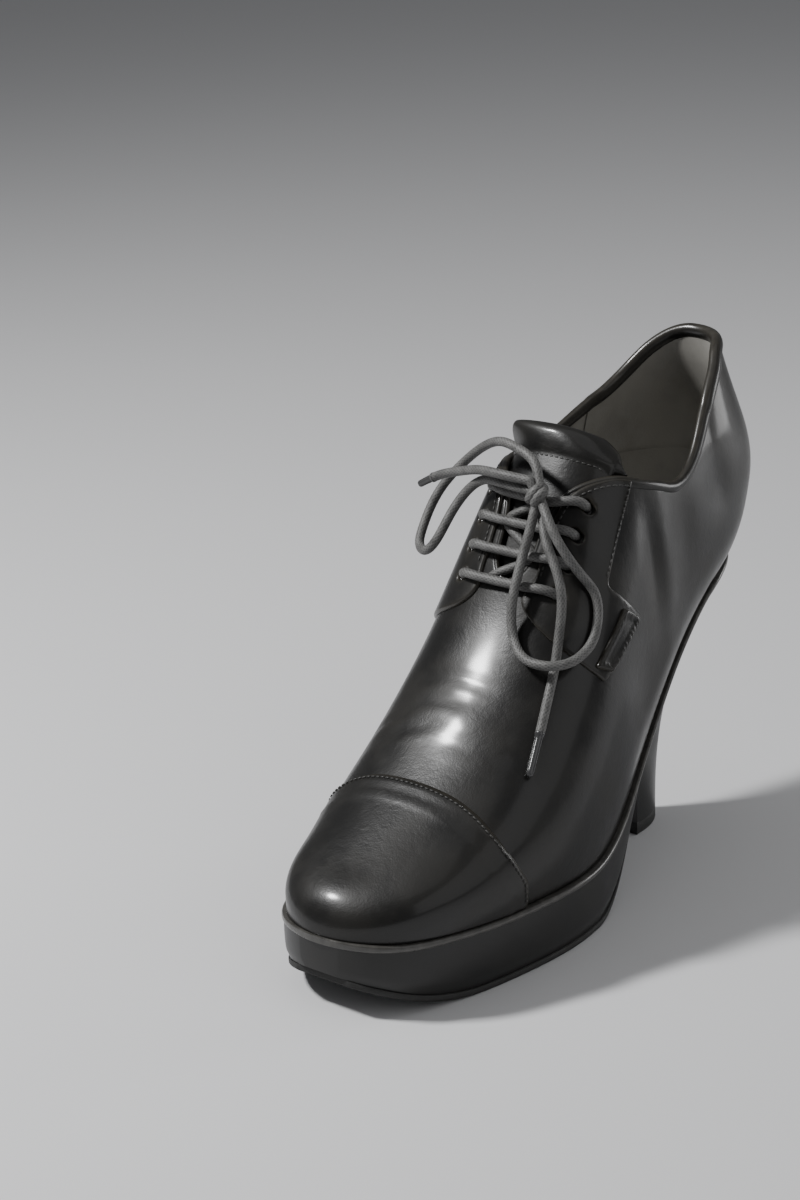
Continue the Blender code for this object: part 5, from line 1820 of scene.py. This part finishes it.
    def declare(
        self,
        node: str,
        path: Points,
        shop: Workshop,
    ) -> None:
        """Args:
            node: CAD node that it stands for.
            path: Points of its middle line.
            shop: Workshop that adds it.
        """
        cord = shop.add(node + "_cord", self.tube(node + "_cord", path), (WAXED_CORD,), Slot.CORD, (node,))

    def build_end(self, node: str, route: Route, aglet: float, shop: Workshop) -> None:
        """Free end with its aglet."""
        path = smooth_route(route, self.spacing)
        covered = int(round(aglet / self.spacing))
        shell = self.aglet_mesh(node + "_aglet", path[-covered - 4:])
        piece = shop.add(node + "_aglet", shell, (AGLET_SHELL,), Slot.CORD)
        self.declare(node, path[:-covered], shop)

    def aglet_mesh(self, name: str, path: Points) -> Mesh:
        """Thin crimped sleeve over the cord's end."""
        share = np.linspace(0.0, 1.0, len(path))
        radius = np.interp(share, *np.array(self.aglet_profile).T)
        tangent = unit(np.gradient(path, axis=0))
        across = unit(np.cross(tangent, self.frame_hint))
        other = np.cross(tangent, across)
        return ring_mesh(name, rings_round(path, radius[:, None], across, other, circle(self.aglet_sides)))

    def build_knot(self, shop: Workshop) -> Object:
        """Wrapped middle of the bow: the cord wound round itself."""
        centre = np.array(self.knot_centre)
        out = unit(np.array([0.3, -0.8, 0.5]))
        axis = np.array([0.86, 0.1, -0.5])
        axis = unit(axis - out * (axis @ out))
        up = np.cross(axis, out)
        steps, first_turn, lead_share = 80, -0.9, 0.4
        turn = np.linspace(first_turn, 2 * math.pi * self.knot_turns, steps)
        shift = np.linspace(self.knot_width / 2, -self.knot_width / 2, steps)
        spun = np.outer(np.cos(turn), out) + np.outer(np.sin(turn), up)
        routes = [centre + np.outer(shift, axis) + self.knot_radius * spun]
        cords = (self.loop_left, self.loop_right, self.end_left, self.end_right)
        left, right, *ends = (smooth_route(cord, self.spacing) for cord in cords)
        for path in (left, left[::-1], right, right[::-1], *ends):
            reach = np.linalg.norm(path[0] - centre)
            lead = path[0] - unit(path[2] - path[0]) * reach * lead_share
            routes.append(np.array([centre, 0.5 * (centre + lead), lead, path[0], path[2]]))
        meshes = [self.tube("strand", smooth_route(resample(route, 24), self.spacing)) for route in routes]
        work = bmesh.new()
        for mesh in meshes:
            work.from_mesh(mesh)
        knot = bpy.data.meshes.new("lace_knot_wrap")
        work.to_mesh(knot)
        work.free()
        knot.shade_smooth()
        return shop.add("lace_knot_wrap", knot, (WAXED_CORD,), Slot.CORD, ("lace_knot",))

    def ridge_for(self, place: tuple[float, float]) -> float:
        """Ridge station whose fall across the form meets an eyelet."""
        y, z = place
        near, far = y - self.last.fall_reach, y
        for _ in range(self.last.halvings):
            middle = (near + far) / 2
            if (self.last.ridge_z(middle) - z) * FALL[0] < (middle - y) * FALL[1]:
                near = middle
            else:
                far = middle
        return near

    def build_bars(self, shop: Workshop) -> None:
        """Bars across the gap, each from inside one eyelet to inside the one that faces it."""
        for number, (place, sag) in enumerate(zip(self.upper.eyelets, self.bar_sag), start=1):
            ends = {side: self.upper.eyelet_frame(place, side) for side in Side}
            ridge = self.ridge_for(place)
            route = []
            for side in (Side.MEDIAL, Side.LATERAL):
                centre, out = ends[side]
                inward = unit(np.array([-side.value, 0.0, 0.0]) - out * (-side.value * out[0]))
                dive = [centre + out * height + inward * shift for height, shift in self.dive]
                route.append(dive if side is Side.MEDIAL else dive[::-1])
            across = []
            for x, lift in self.bar_lift:
                pull = sag * max(1 - ((x - self.sag_middle) / self.sag_half) ** 2, 0.0)
                middle, step = ridge - pull * self.sag_share, 0.5
                aside = self.last.over_ridge(x + step, middle) - self.last.over_ridge(x - step, middle)
                ahead = self.last.over_ridge(x, middle + step) - self.last.over_ridge(x, middle - step)
                across.append(self.last.over_ridge(x, middle) + unit(np.cross(aside, ahead)) * lift)
            path = smooth_route([*route[0], *across, *route[1]], self.spacing)
            name = f"lace_bar_{number}"
            shop.add(name + "_cord", self.tube(name, path), (WAXED_CORD,), Slot.CORD, (name,))

    def build_crossings(self, shop: Workshop) -> None:
        """Slanted runs of the lace below the bars, seen in the gap above the tongue."""
        for number in range(len(self.upper.eyelets) - 1):
            low = self.ridge_for(self.upper.eyelets[number])
            high = self.ridge_for(self.upper.eyelets[number + 1])
            route, half, bulge = [], self.crossing_half, 70.0
            for x in np.linspace(-half, half, 7):
                share = (x + half) / (2 * half)
                ridge = low + (high - low) * (share if number % 2 == 0 else 1 - share)
                out = unit(np.array([x / bulge, -FALL[0], -FALL[1]]))
                dive = self.crossing_dive * smoothstep((abs(x) - self.dive_from) / self.dive_over)
                route.append(self.last.over_ridge(x, ridge) + out * (-self.crossing_depth - dive))
            path = smooth_route(route, self.spacing)
            name = f"lace_crossing_{number + 1}"
            shop.add(name, self.tube(name, path), (WAXED_CORD,), Slot.CORD)


# Lamps: name, place in metres, size in metres, watts
LAMPS = (
    ("key", (-0.60, -0.46, 0.98), 0.14, 18.0),
    ("fill", (0.2, 0.3, 1.9), 1.6, 4.5),
    ("back", (0.72, 1.15, 0.26), 0.4, 4.0),
    ("side", (1.25, -0.15, 0.75), 1.2, 3.5),
)


@dataclass
class Studio:
    """Camera at the photograph's angle, pale floor and soft light."""

    azimuth: float = 39.4
    elevation: float = 19.7
    distance: float = 844.0
    target: tuple[float, float, float] = (2.2, -40.4, 129.9)
    roll: float = -2.2
    lens: float = 78.0
    sensor: float = 36.0
    aim: tuple[float, float, float] = (0.0, 0.02, 0.08)

    def build(self) -> None:
        """Sets up the view."""
        self.build_camera()
        self.build_floor()
        self.build_lights()

    def build_camera(self) -> None:
        """Camera fitted to the photograph."""
        a, e, r = (math.radians(v) for v in (self.azimuth, self.elevation, self.roll))
        back = Vector((math.sin(a) * math.cos(e), -math.cos(a) * math.cos(e), math.sin(e)))
        right = Vector((math.cos(a), math.sin(a), 0.0))
        up = back.cross(right)
        rolled_right = right * math.cos(r) + up * math.sin(r)
        rolled_up = up * math.cos(r) - right * math.sin(r)
        data = bpy.data.cameras.new("Camera")
        data.lens = self.lens
        data.sensor_width = self.sensor
        data.clip_start = 0.01
        camera = bpy.data.objects.new("Camera", data)
        bpy.context.scene.collection.objects.link(camera)
        matrix = Matrix((rolled_right, rolled_up, back)).transposed().to_4x4()
        matrix.translation = (Vector(self.target) + back * self.distance) * MM
        camera.matrix_world = matrix
        bpy.context.scene.camera = camera

    def build_floor(self) -> None:
        """Pale floor that runs out of view."""
        mesh = bpy.data.meshes.new("floor")
        half = 6.0
        corners = [(-half, -half, 0.0), (half, -half, 0.0), (half, half, 0.0), (-half, half, 0.0)]
        mesh.from_pydata(corners, [], [(0, 1, 2, 3)])
        floor = bpy.data.objects.new("floor", mesh)
        bpy.context.scene.collection.objects.link(floor)
        material = bpy.data.materials.new("Pale floor")
        material.use_nodes = True
        shader = material.node_tree.nodes["Principled BSDF"]
        shader.inputs["Base Color"].default_value = (0.67, 0.67, 0.68, 1.0)
        shader.inputs["Roughness"].default_value = 0.7
        mesh.materials.append(material)

    def build_lights(self) -> None:
        """Even sky and the lamps."""
        world = bpy.data.worlds.new("Studio")
        world.use_nodes = True
        sky = world.node_tree.nodes["Background"]
        sky.inputs["Color"].default_value = (0.75, 0.76, 0.78, 1.0)
        sky.inputs["Strength"].default_value = 0.2
        bpy.context.scene.world = world
        for name, place, size, power in LAMPS:
            self.lamp(name, place, size, power)

    def lamp(self, name: str, place: tuple[float, float, float], size: float, power: float) -> None:
        """Area light aimed at the boot."""
        data = bpy.data.lights.new(name, "AREA")
        data.size = size
        data.energy = power
        lamp = bpy.data.objects.new(name, data)
        lamp.visible_camera = False
        bpy.context.scene.collection.objects.link(lamp)
        lamp.location = place
        aim = Vector(self.aim) - Vector(place)
        lamp.rotation_euler = aim.to_track_quat("-Z", "Y").to_euler()


def main() -> None:
    """Builds the boot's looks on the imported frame."""
    logging.basicConfig(level=logging.INFO, format="%(name)s %(message)s")
    for obj in list(bpy.data.objects):
        bpy.data.objects.remove(obj, do_unlink=True)
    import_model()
    shop = Workshop()
    Studio().build()
    last = Last()
    upper = Upper(last)
    Lace(last, upper).build(shop)
    upper.build(shop)
    overlays = Overlays(last, upper)
    overlays.build_toe_cap(shop)
    overlays.build_eyestays(shop)
    overlays.build_tab_bar(shop)
    Tongue(last).build(shop)
    Sole(last).build(shop)
    LOG.info("%d pieces", len(shop.pieces))


if __name__ == "__main__":
    main()
